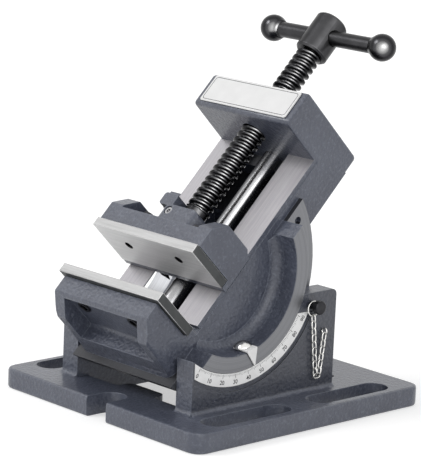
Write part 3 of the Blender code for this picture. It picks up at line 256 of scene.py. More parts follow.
def machined(name, light, dark, polish, streak, stretch=(1, 1, 1), depth=0.012, edge=0.25, centre=False,
             metallic=1.0):
    # bare metal cut or ground: fine parallel lines from the tool, a little cloudy where oil has dried.
    # The true lines are near 0.1 mm apart, too fine to show, so they are drawn at the streak's size,
    # and they run along the body sizes whose stretch is small.
    finish, tree, shader = newFinish(name, {"Metallic": metallic})
    place = bodyCoordinates(tree)
    if centre:
        # turned face: lines run round the tilt axis, so the pattern reads the radius alone
        flat = addNode(tree, "ShaderNodeVectorMath", {"operation": "MULTIPLY"}, {0: place, 1: (0, 1, 1)})
        radius = addNode(tree, "ShaderNodeVectorMath", {"operation": "LENGTH"}, {0: flat.outputs["Vector"]})
        place = addNode(tree, "ShaderNodeCombineXYZ", None, {"X": radius.outputs["Value"]}).outputs["Vector"]
    drawn = addNode(tree, "ShaderNodeVectorMath", {"operation": "MULTIPLY"}, {0: place, 1: stretch})
    lines = addNode(tree, "ShaderNodeTexNoise", None, {
        "Vector": drawn.outputs["Vector"], "Scale": perSize(streak), "Detail": cutMetal["detail"],
        "Roughness": cutMetal["roughness"]})
    cloud = addNode(tree, "ShaderNodeTexNoise", None, {
        "Vector": place, "Scale": perSize(cutMetal["cloudSize"]), "Detail": 3.0})
    tone = addNode(tree, "ShaderNodeValToRGB", {
        "stops": [(cutMetal["darkAt"], dark), (cutMetal["lightAt"], light)]}, {"Fac": lines.outputs["Fac"]})
    shine = addNode(tree, "ShaderNodeMapRange", None, {
        "Value": cloud.outputs["Fac"], "To Min": polish[0], "To Max": polish[1], **glossAt})
    tree.links.new(tone.outputs["Color"], shader.inputs["Base Color"])
    tree.links.new(shine.outputs["Result"], shader.inputs["Roughness"])
    bump(tree, shader, lines.outputs["Fac"], depth, edge)
    return finish


def coated(name, light, dark, polish, metallic, grain=0.8, depth=0.01, edge=0.2, paintedSheen=None):
    # blackened, plated or painted small parts: nearly even colour, with a fine mottle in tone and gloss.
    # Round ones can also get a painted highlight where a surface faces the viewer and painted shade towards its rim.
    finish, tree, shader = newFinish(name, {"Metallic": metallic})
    place = addNode(tree, "ShaderNodeTexCoord").outputs["Object"]
    mottle = addNode(tree, "ShaderNodeTexNoise", None, {"Vector": place, "Scale": perSize(grain), "Detail": 3.0})
    cloud = addNode(tree, "ShaderNodeTexNoise", None, {
        "Vector": place, "Scale": perSize(coating["cloudSize"]), "Detail": 2.0})
    tone = addNode(tree, "ShaderNodeValToRGB", {
        "stops": [(coating["darkAt"], dark), (coating["lightAt"], light)]}, {"Fac": cloud.outputs["Fac"]})
    shine = addNode(tree, "ShaderNodeMapRange", None, {
        "Value": mottle.outputs["Fac"], "To Min": polish[0], "To Max": polish[1], **glossAt})
    colour = tone.outputs["Color"]
    # painted highlight in the middle and painted shade at the rim, read from how squarely the surface faces the
    # viewer
    if paintedSheen:
        turned = addNode(tree, "ShaderNodeLayerWeight", None, {"Blend": 0.5})
        paintedSheenTone = addNode(tree, "ShaderNodeValToRGB", {"stops": paintedSheen}, {"Fac": turned.outputs["Facing"]})
        colour = addNode(tree, "ShaderNodeMix", {"data_type": "RGBA", "blend_type": "MULTIPLY"}, {
            "Factor": 1.0, 6: colour, 7: paintedSheenTone.outputs["Color"]}).outputs[2]
    tree.links.new(colour, shader.inputs["Base Color"])
    tree.links.new(shine.outputs["Result"], shader.inputs["Roughness"])
    bump(tree, shader, mottle.outputs["Fac"], depth, edge)
    return finish


# painted highlight and shade: tone against how far a surface turns away from the viewer, light where it faces and
# dark at the rim: (share turned, sRGB)
paintedSheenOf = {
    "ball": [(0.0, "dcdcdc"), (0.045, "a8a8a8"), (0.13, "5a5a5c"), (0.3, "343436"), (1.0, "202022")],
    "satin": [(0.0, "808082"), (0.12, "565658"), (0.4, "38383a"), (1.0, "202022")],
    "thread": [(0.0, "e6e6e6"), (0.05, "909092"), (0.14, "3c3c3e"), (0.45, "222224"), (1.0, "141416")],
    "wire": [(0.0, "ffffff"), (0.4, "e4e4e4"), (0.65, "8c8c8c"), (1.0, "2c2c2c")],
    "rod": [(0.0, "f4f4f4"), (0.22, "c4c4c4"), (0.5, "6e6e70"), (1.0, "1c1c1e")],
}
finishes = {
    # sprayed enamel on the three castings
    "enamel": castEnamel("sprayedEnamelOnSandCastIron", enamel["light"], enamel["dark"], enamel["speck"],
                         enamel["thinPaintAndHighlight"]),
    # the right cheek's outward flat side, drawn darker and with fainter specks under the same paint: painted shade
    "shadedSideEnamel": castEnamel("sprayedEnamelWithPaintedShadeOnRightCheek", enamel["cheekLight"], enamel["cheekDark"],
                             enamel["cheekSpeck"], enamel["cheekEdgeWearAndHighlight"]),
    # the drum's rolling rim and the ledge below the head: bare turned iron drawn near black, painted shade for the
    # shadow under the head
    "rimPaintedShade": machined("turnedRimPaintedShade", "303136", "232429", (0.45, 0.60), 1.6, (1, 0.02, 0.02),
                         metallic=0.2),
    # ways: ground lengthwise, so the streaks run along them
    "groundWays": machined("surfaceGroundIronWays", "a3a1a4", "929094", (0.42, 0.52), 1.1, (1, 0.03, 1)),
    # ring faces: turned, with lines round the axis
    "turnedRing": machined("latheTurnedIronRing", "8e8f92", "6c6d71", (0.36, 0.46), 0.9, depth=0.02, edge=0.3,
                           centre=True),
    # inside of the left ring: turned, with lines round the axis, and drawn paler than the ring's faces as painted
    # light
    "turnedBorePaintedLight": machined("latheTurnedIronBorePaintedLight", "a6a7aa", "8e8f92", (0.36, 0.46), 1.2, (1, 0.02, 0.02)),
    # jaw plates: hardened steel, surface ground across
    "groundSteel": machined("surfaceGroundJawSteel", "dedede", "d0d0d0", (0.46, 0.56), 1.0, (0.03, 1, 1),
                            metallic=0.75),
    # their tops are drawn a darker grey than the faces, painted shade, and their ends and backs near black, painted
    # shade
    "plateTopShade": machined("groundJawSteelTopPaintedShade", "aeaeae", "9a9a9a", (0.42, 0.52), 1.2, (0.03, 1, 1)),
    "plateEndAndBackShade": coated("paintedShadeOnJawPlateEndsAndBacks", "4c4e4f", "3a3c3d", (0.48, 0.60), 0.3, 1.0),
    # guide rod: centreless ground and polished bright, with a painted highlight along its middle and painted shade
    # at its sides
    "brightRod": coated("polishedBrightRodSteel", "f4f4f6", "e6e6e8", (0.20, 0.28), 1.0, 0.8, 0.001,
                        paintedSheen=paintedSheenOf["rod"]),
    # screw: oil blackened; the glints on its crests and its dark valleys are painted highlight and shade
    "blackOxide": coated("oilBlackenedScrewSteel", "fafafa", "dcdcdc", (0.20, 0.30), 1.0, 0.7,
                         paintedSheen=paintedSheenOf["thread"]),
    # hub and bar: blackened and rubbed to a satin, with a painted highlight along their middles
    "satinBlack": coated("satinBlackenedSteel", "fafafa", "dadada", (0.28, 0.38), 0.9, 0.9,
                         paintedSheen=paintedSheenOf["satin"]),
    # balls: turned, blackened and polished, their pale middles a painted highlight and their dark rims painted shade
    "polishedBlack": coated("polishedBlackBall", "fafafa", "e8e8e8", (0.24, 0.30), 1.0, 0.9, 0.003,
                            paintedSheen=paintedSheenOf["ball"]),
    # chain, rings, eye and small screws: nickel plate, white where they face the viewer as a painted highlight and
    # dark at their rims as painted shade
    "nickel": coated("brightNickelPlate", "fcfbf8", "e6e5e2", (0.16, 0.26), 1.0, 0.8, 0.006,
                     paintedSheen=paintedSheenOf["wire"]),
    # dial and pointer: white enamel on a thin strip
    "dialWhite": coated("whiteEnamelDialStrip", "fafafa", "f0f0f0", (0.30, 0.42), 0.0, 1.2, 0.006),
    "dialInk": coated("blackDialInk", "26272b", "1b1c20", (0.5, 0.6), 0.0, 0.8, 0.004),
    # name plate: lacquered aluminium, left bare
    "plateWhite": coated("whiteLacquerNamePlate", "e6e6e6", "e1e1e1", (0.28, 0.38), 0.0, 1.4, 0.004),
    "plateLine": coated("greyPlateBorderInk", "47484d", "3a3b40", (0.4, 0.5), 0.0, 1.0, 0.004),
    # socket screws: black oxide, almost matt
    "screwBlack": coated("blackOxideSocketScrew", "3a3a3d", "262629", (0.26, 0.36), 0.9, 0.6),
    # the retaining screw, drawn light grey all over as a painted glint
    "screwGlint": coated("setScrewPaintedGlint", "b4b4b6", "8c8c8e", (0.22, 0.32), 1.0, 0.6),
}
print("finishes ready:", len(finishes))


# ---- the solids, merged, rounded and finished
def facePainter(rules):
    # gives each face the index of the first rule that it meets, in body sizes
    def paint(shape):
        for face in shape.faces:
            centre = bodyLocal @ face.calc_center_median()
            facing = bodyLocal.to_3x3() @ face.normal
            face.material_index = next((i + 1 for i, rule in enumerate(rules) if rule(centre, facing)), 0)
    return paint


bevelMargin = 4  # degrees: an edge that bends just past sharp isn't rounded
broadFace = 400.0  # square millimetres
onCylinder = 0.15  # millimetres off the turned radius
nearlyRadial = 0.97  # cosine


def trueRounds(piece, radii):
    # surfaces turned about the tilt axis get their exact normals, which the uneven facets lack,
    # and broad flat faces stay flat up to their rounded edges
    mesh = bpy.data.meshes.new_from_object(piece.evaluated_get(bpy.context.evaluated_depsgraph_get()))
    mesh.name = piece.data.name
    piece.modifiers.clear()
    piece.data = mesh
    normals = [Vector(corner.vector) for corner in mesh.corner_normals]
    turn = bodyPlace.to_3x3()
    for face in mesh.polygons:
        wide = face.area > broadFace * mm * mm
        for i in face.loop_indices:
            if wide:
                normals[i] = face.normal
            place = bodyLocal @ mesh.vertices[mesh.loops[i].vertex_index].co
            radius = math.hypot(place.y, place.z) / mm
            if min(abs(radius - turned) for turned in radii) < onCylinder:
                outward = turn @ Vector((0, place.y, place.z)).normalized()
                facing = outward.dot(face.normal)
                if abs(facing) > nearlyRadial:
                    normals[i] = outward * math.copysign(1, facing)
    mesh.normals_split_custom_set(normals)


def dressed(nodeName, pieceName, finishNames, rounding=0.0, steps=2, painter=None, subdivide=0, sharpAngle=32,
            turnedRadii=None):
    # a merged copy of a solid with its finishes, its edges rounded by that many millimetres, in the solid's stead
    mesh = nodes[nodeName].data.copy()
    mesh.name = pieceName
    mesh.materials.clear()
    for finishName in finishNames:
        mesh.materials.append(finishes[finishName])
    shape = bmesh.new()
    shape.from_mesh(mesh)
    bmesh.ops.remove_doubles(shape, verts=shape.verts, dist=weldDistance)
    bmesh.ops.dissolve_limit(shape, angle_limit=flatAngle, verts=shape.verts, edges=shape.edges)
    for face in shape.faces:
        face.smooth = True
        face.material_index = 0
    if painter:
        painter(shape)
    shape.to_mesh(mesh)
    shape.free()
    mesh.set_sharp_from_angle(angle=math.radians(sharpAngle))
    piece = bpy.data.objects.new(pieceName, mesh)
    bpy.context.scene.collection.objects.link(piece)
    if subdivide:
        smooth = piece.modifiers.new("smooth", "SUBSURF")
        smooth.levels = smooth.render_levels = subdivide
    if rounding:
        edge = piece.modifiers.new("edge", "BEVEL")
        edge.width, edge.segments, edge.limit_method = rounding * mm, steps, "ANGLE"
        edge.angle_limit = math.radians(sharpAngle + bevelMargin)
        edge.harden_normals = edge.use_clamp_overlap = True
        edge.miter_outer = "MITER_ARC"
    if turnedRadii:
        trueRounds(piece, turnedRadii)
    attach(piece, carriedBy[nodeName])
    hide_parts(nodeName)


def bodyBox(nodeName):
    # lowest and highest body sizes of a node
    points = [bodyLocal @ vertex.co for vertex in nodes[nodeName].data.vertices]
    return [Vector(pick(p[i] for p in points) for i in range(3)) for pick in (min, max)]


# body sizes in millimetres that tell the machined faces from the cast ones
machinedFaces = {
    "wayRise": -10.43, "wayInner": 21.0, "wayOuter": 46.4, "drumWall": 46.4,
    "ringFace": 65.3, "ringRadius": 63.0, "ringSide": 54.6, "ringInner": 52.2, "flangeSide": 50.0,
    "rimRadius": 82.7, "rimTolerance": 0.6, "ledgeRise": -18.8, "ledgeRun": 64.0,
    "ledgeFacing": 0.9, "wallFacing": 0.3, "recessRadius": 75.8, "cheekSide": 60.0, "plateTop": 16.0,
    "jawPlateTop": 30.0, "jawPlateEnd": 49.0, "movableBack": -3.0, "fixedBack": -45.0,
    "screwApart": 25.0, "screwRise": 18.0, "screwHole": 4.0, "tolerance": 0.3,
}
# cosines: a face looks along an axis above the first and squarely away from it below the second
faceOn, edgeOn = 0.95, 0.1


def onWay(centre, facing):
    m = machinedFaces
    level = abs(centre.z / mm - m["wayRise"]) < m["tolerance"]
    return level and facing.z > faceOn and m["wayInner"] < abs(centre.x) / mm < m["wayOuter"]


def onRing(centre, facing):
    m = machinedFaces
    side = abs(centre.x) / mm
    if side < m["ringSide"]:
        return False
    rim = abs(math.hypot(centre.y, centre.z) / mm - m["ringRadius"]) < m["tolerance"] and abs(facing.x) < edgeOn
    return side > m["ringFace"] or rim


def onFlange(centre, facing):
    m = machinedFaces
    return abs(facing.x) > faceOn and abs(abs(centre.x) / mm - m["flangeSide"]) < m["tolerance"]


# rim and ledge below the head: drawn near black as painted shade
def onRim(centre, facing):
    m = machinedFaces
    radius = math.hypot(centre.y, centre.z) / mm
    rim = abs(radius - m["rimRadius"]) < m["rimTolerance"] and abs(facing.x) < edgeOn
    low = centre.z / mm < m["ledgeRise"] + m["tolerance"]
    ledge = low and facing.z > m["ledgeFacing"] and abs(centre.y) / mm > m["ledgeRun"]
    return rim or ledge


# only the left ring's bore is drawn pale, as painted light
def insideLeftRing(centre, facing):
    m = machinedFaces
    radius = math.hypot(centre.y, centre.z) / mm
    bore = abs(radius - m["ringInner"]) < m["tolerance"] and abs(facing.x) < edgeOn
    return bore and centre.x / mm < -m["drumWall"]


def onPlateTop(centre, facing):
    return facing.z > faceOn and centre.z / mm > machinedFaces["jawPlateTop"]


def onPlateEnd(centre, facing):
    return abs(facing.x) > faceOn and abs(centre.x) / mm > machinedFaces["jawPlateEnd"]


def onPlateBack(centre, facing):
    m = machinedFaces
    fixed = facing.y < -faceOn and centre.y / mm < m["fixedBack"]
    return fixed or (facing.y > faceOn and centre.y / mm > m["movableBack"])


def inScrewHole(centre, facing):
    m = machinedFaces
    across, up = abs(centre.x) / mm - m["screwApart"], centre.z / mm - m["screwRise"]
    return math.hypot(across, up) < m["screwHole"]


def onRecessWall(centre, facing):
    m = machinedFaces
    radius = math.hypot(centre.y, centre.z) / mm
    wall = abs(radius - m["recessRadius"]) < m["tolerance"] and abs(facing.x) < m["wallFacing"]
    return wall and centre.x / mm > m["cheekSide"]


# the right cheek's outward side, drawn darker as painted shade
def onCheekSide(centre, facing):
    m = machinedFaces
    return facing.x > faceOn and centre.x / mm > m["cheekSide"] and (bodyPlace @ centre).z / mm > m["plateTop"]


# turned radii round the tilt axis
drumRadii = (50.0, 52.2, 63.0, 82.4, 82.6)
cradleRadii = (63.3, 75.8, 82.8)
dressed("base", "base_casting", ["enamel", "turnedRing", "shadedSideEnamel"], 1.4, 3,
        facePainter([onRecessWall, onCheekSide]), turnedRadii=cradleRadii)
dressed("vise_body", "body_casting",
        ["enamel", "groundWays", "turnedRing", "turnedRing", "turnedBorePaintedLight", "rimPaintedShade"], 0.7, 2,
        facePainter([onWay, onRing, onFlange, insideLeftRing, onRim]), turnedRadii=drumRadii)
dressed("movable_jaw", "movable_jaw_casting", ["enamel"], 0.7)
# plate tops, ends and backs drawn darker as painted shade, and the screw holes' walls drawn screw black as painted
# shade in the holes
for side in ("fixed", "movable"):
    dressed(side + "_jaw_plate", side + "_plate_ground",
            ["groundSteel", "plateTopShade", "plateEndAndBackShade", "screwBlack", "plateEndAndBackShade"], 0.35, 2,
            facePainter([onPlateTop, onPlateEnd, inScrewHole, onPlateBack]))
for side in ("left", "right"):
    dressed("fixed_plate_screw_" + side, "fixed_cap_screw_" + side, ["screwBlack"], 0.15)
    dressed("movable_plate_screw_" + side, "movable_cap_screw_" + side, ["screwBlack"], 0.15)
    dressed("handle_ball_" + side, "ball_" + side, ["polishedBlack"], subdivide=1)
dressed("guide_rod", "guide_rod_bright", ["brightRod"], 0.3)
dressed("handle_hub", "handle_hub_turned", ["satinBlack"], 0.3)
dressed("handle_bar", "handle_bar_turned", ["satinBlack"], 0.3)
dressed("spindle_retainer", "retaining_screw", ["screwGlint"], 0.15)
dressed("keeper_screw", "keeper_screw_pointed", ["nickel"], 0.1)
dressed("lock_pin", "lock_pin_turned", ["screwBlack"], 0.2)
dressed("pin_ring", "pin_ring_wire", ["nickel"], subdivide=1)
dressed("chain_eye", "chain_eye_wire", ["nickel"], subdivide=1)
for name in sorted(n for n in nodes if n.startswith("chain_link_")):
    dressed(name, name.replace("chain_link", "link"), ["nickel"], subdivide=1, sharpAngle=75)
dressed("dial_strip", "dial_strip_enamelled", ["dialWhite"], 0.1)
dressed("name_plate", "name_plate_lacquered", ["plateWhite"], 0.15)
dressed("pointer", "pointer_bent", ["dialWhite"], 0.12)
dressed("pointer_screw", "pointer_domed_screw", ["nickel"], 0.1)
print("solids dressed")

# wide cast fillet where the drum's right wall meets the inside of its ring
fillet = {"wall": 46.5, "ringInner": 52.2, "radius": 7.0, "endRise": 18.1, "steps": 8, "turns": 60, "sunk": 0.4}


def sweptFillet(name, size):
    # a closed bar with a hollow face, bent round the tilt axis and cut level at both ends
    section = [(size["wall"] - size["sunk"], size["ringInner"] - size["radius"])]
    for i in range(size["steps"] + 1):
        turn = math.pi / 2 * i / size["steps"]
        section.append((size["wall"] + size["radius"] * (1 - math.cos(turn)),
                        size["ringInner"] - size["radius"] * (1 - math.sin(turn))))
    section += [(size["wall"] + size["radius"], size["ringInner"] + size["sunk"]),
                (size["wall"] - size["sunk"], size["ringInner"] + size["sunk"])]
    shape = bmesh.new()
    rings = []
    for step in range(size["turns"] + 1):
        ring = []
        for x, radius in section:
            end = math.asin(size["endRise"] / radius)
            turn = math.pi + end + (math.pi - 2 * end) * step / size["turns"]
            ring.append(shape.verts.new((x, radius * math.cos(turn), radius * math.sin(turn))))
        rings.append(ring)
    count = len(section)
    for first, second in zip(rings, rings[1:]):
        for i in range(count):
            shape.faces.new((first[i], first[(i + 1) % count], second[(i + 1) % count], second[i]))
    shape.faces.new(rings[0])
    shape.faces.new(rings[-1])
    bmesh.ops.recalc_face_normals(shape, faces=shape.faces)
    for face in shape.faces:
        face.smooth = True
    mesh = bpy.data.meshes.new(name)
    shape.to_mesh(mesh)
    shape.free()
    mesh.set_sharp_from_angle(angle=turnedSharp)
    mesh.transform(bodyPlace @ Matrix.Scale(mm, 4))
    mesh.materials.append(finishes["enamel"])
    piece = bpy.data.objects.new(name, mesh)
    bpy.context.scene.collection.objects.link(piece)
    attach(piece, carriedBy["vise_body"])


sweptFillet("drum_fillet", fillet)


# ---- the screw's thread, by Geometry Nodes
def newTree(name, inputs):
    # a node tree with named size inputs; returns the tree, its input node and its output node
    tree = bpy.data.node_groups.new(name, "GeometryNodeTree")
    tree.interface.new_socket("Geometry", in_out="OUTPUT", socket_type="NodeSocketGeometry")
    for label, (kind, value) in inputs.items():
        socket = tree.interface.new_socket(label, in_out="INPUT", socket_type="NodeSocket" + kind)
        if value is not None:
            socket.default_value = value
    return tree, addNode(tree, "NodeGroupInput").outputs, addNode(tree, "NodeGroupOutput")


def grown(name, tree, values, place, body, *stoodFor):
    # runs a tree, keeps its result as a plain mesh in place, and rides it on a body
    seed = bpy.data.objects.new(name + "Seed", bpy.data.meshes.new(name + "Seed"))
    bpy.context.scene.collection.objects.link(seed)
    steps = seed.modifiers.new("grow", "NODES")
    steps.node_group = tree
    for socket in tree.interface.items_tree:
        if socket.in_out == "INPUT" and socket.name in values:
            steps[socket.identifier] = values[socket.name]
    ready = seed.evaluated_get(bpy.context.evaluated_depsgraph_get())
    piece = bpy.data.objects.new(name, bpy.data.meshes.new_from_object(ready))
    piece.data.name = name
    piece.data.transform(place)
    bpy.data.objects.remove(seed)
    shape = bmesh.new()
    shape.from_mesh(piece.data)
    bmesh.ops.remove_doubles(shape, verts=shape.verts, dist=weldDistance)
    bmesh.ops.dissolve_degenerate(shape, edges=shape.edges, dist=weldDistance)
    bmesh.ops.recalc_face_normals(shape, faces=shape.faces)
    shape.to_mesh(piece.data)
    shape.free()
    bpy.context.scene.collection.objects.link(piece)
    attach(piece, body)
    if stoodFor:
        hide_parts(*stoodFor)


screw = {
    "pitch": 5.0, "crest": 9.0, "root": 6.5, "threadStart": 35.6, "rise": 7.8,
    "rowsPerPitch": 8, "sides": 40, "neckRadius": 6.6, "neckLow": 21.5, "neckHigh": 28.1, "smoothRadius": 8.3,
    "spigotRadius": 6.0, "chamfer": 1.2, "runIn": 0.4, "sunk": 0.1, "coreSides": 48, "hubGap": 0.3,
    "rootEnds": 0.16, "crestBegins": 0.35,  # shares of a pitch from the middle of the groove
}
screwLow, screwHigh = bodyBox("spindle")
hubLow = bodyBox("handle_hub")[0]
threadEnd = hubLow.y / mm - screw["hubGap"]

tree, given, result = newTree("spindleThread", {
    "Pitch": ("Float", 5.0), "Crest Radius": ("Float", 9.0), "Root Radius": ("Float", 6.5),
    "Start": ("Float", 30.0), "End": ("Float", 170.0), "Rows per Pitch": ("Int", 8), "Rows": ("Int", 200),
    "Sides": ("Int", 40), "Finish": ("Material", None)})
nudge = 0.001  # rounding could put a row just under a whole pitch, so its phase is read a little past it
# a sheet of rows and sides, each row one pitch further on at the end of its turn than at its start
place = addNode(tree, "GeometryNodeInputPosition").outputs[0]
spot = addNode(tree, "ShaderNodeSeparateXYZ", None, {"Vector": place}).outputs
known = {**dict(given.items()), "across": spot["X"], "up": spot["Y"]}
# each line: a name for the result, the operation, and the names or numbers that it takes
for name, operation, *terms in (
        ("columns", "ADD", "Sides", 1.0),
        ("turn", "ADD", "across", 0.5),
        ("lastRow", "SUBTRACT", "Rows", 1.0),
        ("row", "ADD", "up", 0.5),
        ("row", "MULTIPLY", "row", "lastRow"),
        ("row", "ROUND", "row"),
        ("share", "DIVIDE", "row", "Rows per Pitch"),
        ("late", "SUBTRACT", "turn", 1.0),
        ("pitches", "ADD", "share", "late"),
        ("along", "MULTIPLY", "pitches", "Pitch"),
        ("along", "ADD", "along", "Start"),
        ("phase", "ADD", "share", nudge),
        ("phase", "FRACT", "phase"),
        ("ridge", "SUBTRACT", "phase", 0.5 + nudge),
        ("ridge", "ABSOLUTE", "ridge"),
        # past either end the rows shrink onto the axis, inside the core
        ("afterStart", "GREATER_THAN", "along", "Start"),
        ("beforeEnd", "LESS_THAN", "along", "End"),
        ("inside", "MULTIPLY", "afterStart", "beforeEnd"),
        ("along", "MAXIMUM", "along", "Start"),
        ("along", "MINIMUM", "along", "End"),
        ("angle", "MULTIPLY", "turn", 2 * math.pi),
        ("sine", "SINE", "angle"),
        ("sine", "MULTIPLY", "sine", "inside"),
        ("cosine", "COSINE", "angle"),
        ("cosine", "MULTIPLY", "cosine", "inside")):
    known[name] = addNode(tree, "ShaderNodeMath", {"operation": operation}, {
        i: known.get(term, term) for i, term in enumerate(terms)}).outputs[0]
sheet = addNode(tree, "GeometryNodeMeshGrid", None, {
    "Size X": 1.0, "Size Y": 1.0, "Vertices X": known["columns"], "Vertices Y": given["Rows"]})
radius = addNode(tree, "ShaderNodeMapRange", {"interpolation_type": "LINEAR"}, {
    "Value": known["ridge"], "From Min": screw["rootEnds"], "From Max": screw["crestBegins"],
    "To Min": given["Root Radius"], "To Max": given["Crest Radius"]})
ring = addNode(tree, "ShaderNodeCombineXYZ", None, {"X": known["sine"], "Z": known["cosine"]})
run = addNode(tree, "ShaderNodeCombineXYZ", None, {"Y": known["along"]})
wound = addNode(tree, "ShaderNodeVectorMath", {"operation": "MULTIPLY_ADD"}, {
    0: ring.outputs["Vector"], 1: radius.outputs["Result"], 2: run.outputs["Vector"]})
thread = addNode(tree, "GeometryNodeSetPosition", None, {
    "Geometry": sheet.outputs["Mesh"], "Position": wound.outputs[0]})
thread = addNode(tree, "GeometryNodeSetShadeSmooth", None, {"Geometry": thread.outputs[0], "Shade Smooth": True})
thread = addNode(tree, "GeometryNodeRealizeInstances", None, {"Geometry": thread.outputs[0]})
thread = addNode(tree, "GeometryNodeSetMaterial", None, {"Geometry": thread.outputs[0], "Material": given["Finish"]})
tree.links.new(thread.outputs[0], result.inputs[0])

screwPlace = bodyPlace @ Matrix.Translation((0, 0, screw["rise"] * mm)) @ Matrix.Scale(mm, 4)
turns = (threadEnd - screw["threadStart"]) / screw["pitch"] + 2
grown("spindle_thread", tree, {
    "Pitch": screw["pitch"], "Crest Radius": screw["crest"], "Root Radius": screw["root"],
    "Start": screw["threadStart"], "End": threadEnd, "Rows per Pitch": screw["rowsPerPitch"],
    "Rows": int(math.ceil(turns * screw["rowsPerPitch"])), "Sides": screw["sides"],
    "Finish": finishes["blackOxide"]}, screwPlace, carriedBy["spindle"])


def lathe(name, profile, sides, place, finishName, body, *stoodFor):
    # a closed turned piece from (radius, run) pairs in millimetres, its ends on the axis
    shape = bmesh.new()
    rings = []
    for radius, run in profile:
        count = sides if radius > 0 else 1
        rings.append([shape.verts.new((radius * math.sin(2 * math.pi * i / sides), run,
                                       radius * math.cos(2 * math.pi * i / sides))) for i in range(count)])
    for first, second in zip(rings, rings[1:]):
        for i in range(sides):
            after = i + 1
            corners = [first[i % len(first)], first[after % len(first)],
                       second[after % len(second)], second[i % len(second)]]
            shape.faces.new(list(dict.fromkeys(corners)))
    bmesh.ops.recalc_face_normals(shape, faces=shape.faces)
    for face in shape.faces:
        face.smooth = True
    mesh = bpy.data.meshes.new(name)
    shape.to_mesh(mesh)
    shape.free()
    mesh.set_sharp_from_angle(angle=turnedSharp)
    mesh.transform(place)
    mesh.materials.append(finishes[finishName])
    piece = bpy.data.objects.new(name, mesh)
    bpy.context.scene.collection.objects.link(piece)
    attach(piece, body)
    if stoodFor:
        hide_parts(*stoodFor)


screwStart, screwStop = screwLow.y / mm, screwHigh.y / mm
smoothEnd = screw["threadStart"] + screw["runIn"]
coreRadius = screw["root"] - screw["sunk"]
coreEnd = threadEnd - 2 * screw["sunk"]
lathe("spindle_core", [
    (0, screwStart), (screw["crest"] - screw["chamfer"], screwStart),
    (screw["crest"], screwStart + screw["chamfer"]), (screw["crest"], screw["neckLow"]),
    (screw["neckRadius"], screw["neckLow"]), (screw["neckRadius"], screw["neckHigh"]),
    (screw["smoothRadius"], screw["neckHigh"]), (screw["smoothRadius"], smoothEnd),
    (coreRadius, smoothEnd + screw["chamfer"]), (coreRadius, coreEnd),
    (screw["spigotRadius"], coreEnd), (screw["spigotRadius"], screwStop), (0, screwStop)],
    screw["coreSides"], screwPlace, "blackOxide", carriedBy["spindle"], "spindle")
print("screw cut")

# ---- dial marks: a line for each degree, longer at fives and tens, and the numbers
dial = {
    "first": -120.0, "last": -30.0, "degrees": 90, "numberStep": 10, "inner": 63.9,
    "shortMark": 1.3, "middleMark": 1.9, "longMark": 2.7, "markWidth": 0.20, "tenWidth": 0.34, "inkThickness": 0.03,
    "numberRadius": 69.4, "numberSize": 4.1, "boldness": 0.07, "curveSteps": 3,
}
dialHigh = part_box("dial_strip")[1]
tree, given, result = newTree("dialMarks", {
    "Marks": ("Int", 91), "First Angle": ("Float", 0.0), "Last Angle": ("Float", 1.0),
    "Inner Radius": ("Float", 60.0), "Short": ("Float", 1.0), "Middle": ("Float", 1.5), "Long": ("Float", 2.0),
    "Width": ("Float", 0.1), "Ten Width": ("Float", 0.1), "Ink": ("Float", 0.03), "Finish": ("Material", None)})
row = addNode(tree, "GeometryNodeMeshLine", None, {"Count": given["Marks"]})
index = addNode(tree, "GeometryNodeInputIndex").outputs[0]
lastMark = addNode(tree, "ShaderNodeMath", {"operation": "SUBTRACT"}, {0: given["Marks"], 1: 1.0})
angle = addNode(tree, "ShaderNodeMapRange", None, {
    "Value": index, "From Max": lastMark.outputs[0], "To Min": given["First Angle"],
    "To Max": given["Last Angle"]}).outputs["Result"]
# true at every fifth and at every tenth mark
isEvery = {}
for every in (5, 10):
    over = addNode(tree, "ShaderNodeMath", {"operation": "MODULO"}, {0: index, 1: float(every)})
    isEvery[every] = addNode(tree, "ShaderNodeMath", {"operation": "LESS_THAN"}, {
        0: over.outputs[0], 1: 0.5}).outputs[0]
length = addNode(tree, "GeometryNodeSwitch", {"input_type": "FLOAT"}, {
    "Switch": isEvery[5], "False": given["Short"], "True": given["Middle"]})
length = addNode(tree, "GeometryNodeSwitch", {"input_type": "FLOAT"}, {
    "Switch": isEvery[10], "False": length.outputs[0], "True": given["Long"]}).outputs[0]
width = addNode(tree, "GeometryNodeSwitch", {"input_type": "FLOAT"}, {
    "Switch": isEvery[10], "False": given["Width"], "True": given["Ten Width"]}).outputs[0]
# a mark's middle is half its length out from the inner radius
reach = addNode(tree, "ShaderNodeMath", {"operation": "MULTIPLY_ADD"}, {0: length, 1: 0.5, 2: given["Inner Radius"]})
cosine = addNode(tree, "ShaderNodeMath", {"operation": "COSINE"}, {0: angle})
sine = addNode(tree, "ShaderNodeMath", {"operation": "SINE"}, {0: angle})
outward = addNode(tree, "ShaderNodeCombineXYZ", None, {"Y": cosine.outputs[0], "Z": sine.outputs[0]})
spot = addNode(tree, "ShaderNodeVectorMath", {"operation": "SCALE"}, {
    0: outward.outputs["Vector"], "Scale": reach.outputs[0]})
row = addNode(tree, "GeometryNodeSetPosition", None, {"Geometry": row.outputs[0], "Position": spot.outputs[0]})
mark = addNode(tree, "GeometryNodeMeshCube", None, {"Size": (1.0, 1.0, 1.0)})
rotation = addNode(tree, "ShaderNodeCombineXYZ", None, {"X": angle})
scale = addNode(tree, "ShaderNodeCombineXYZ", None, {"X": given["Ink"], "Y": length, "Z": width})
marks = addNode(tree, "GeometryNodeInstanceOnPoints", None, {
    "Points": row.outputs[0], "Instance": mark.outputs[0], "Rotation": rotation.outputs[0],
    "Scale": scale.outputs[0]})
marks = addNode(tree, "GeometryNodeRealizeInstances", None, {"Geometry": marks.outputs[0]})
marks = addNode(tree, "GeometryNodeSetMaterial", None, {"Geometry": marks.outputs[0], "Material": given["Finish"]})
tree.links.new(marks.outputs[0], result.inputs[0])
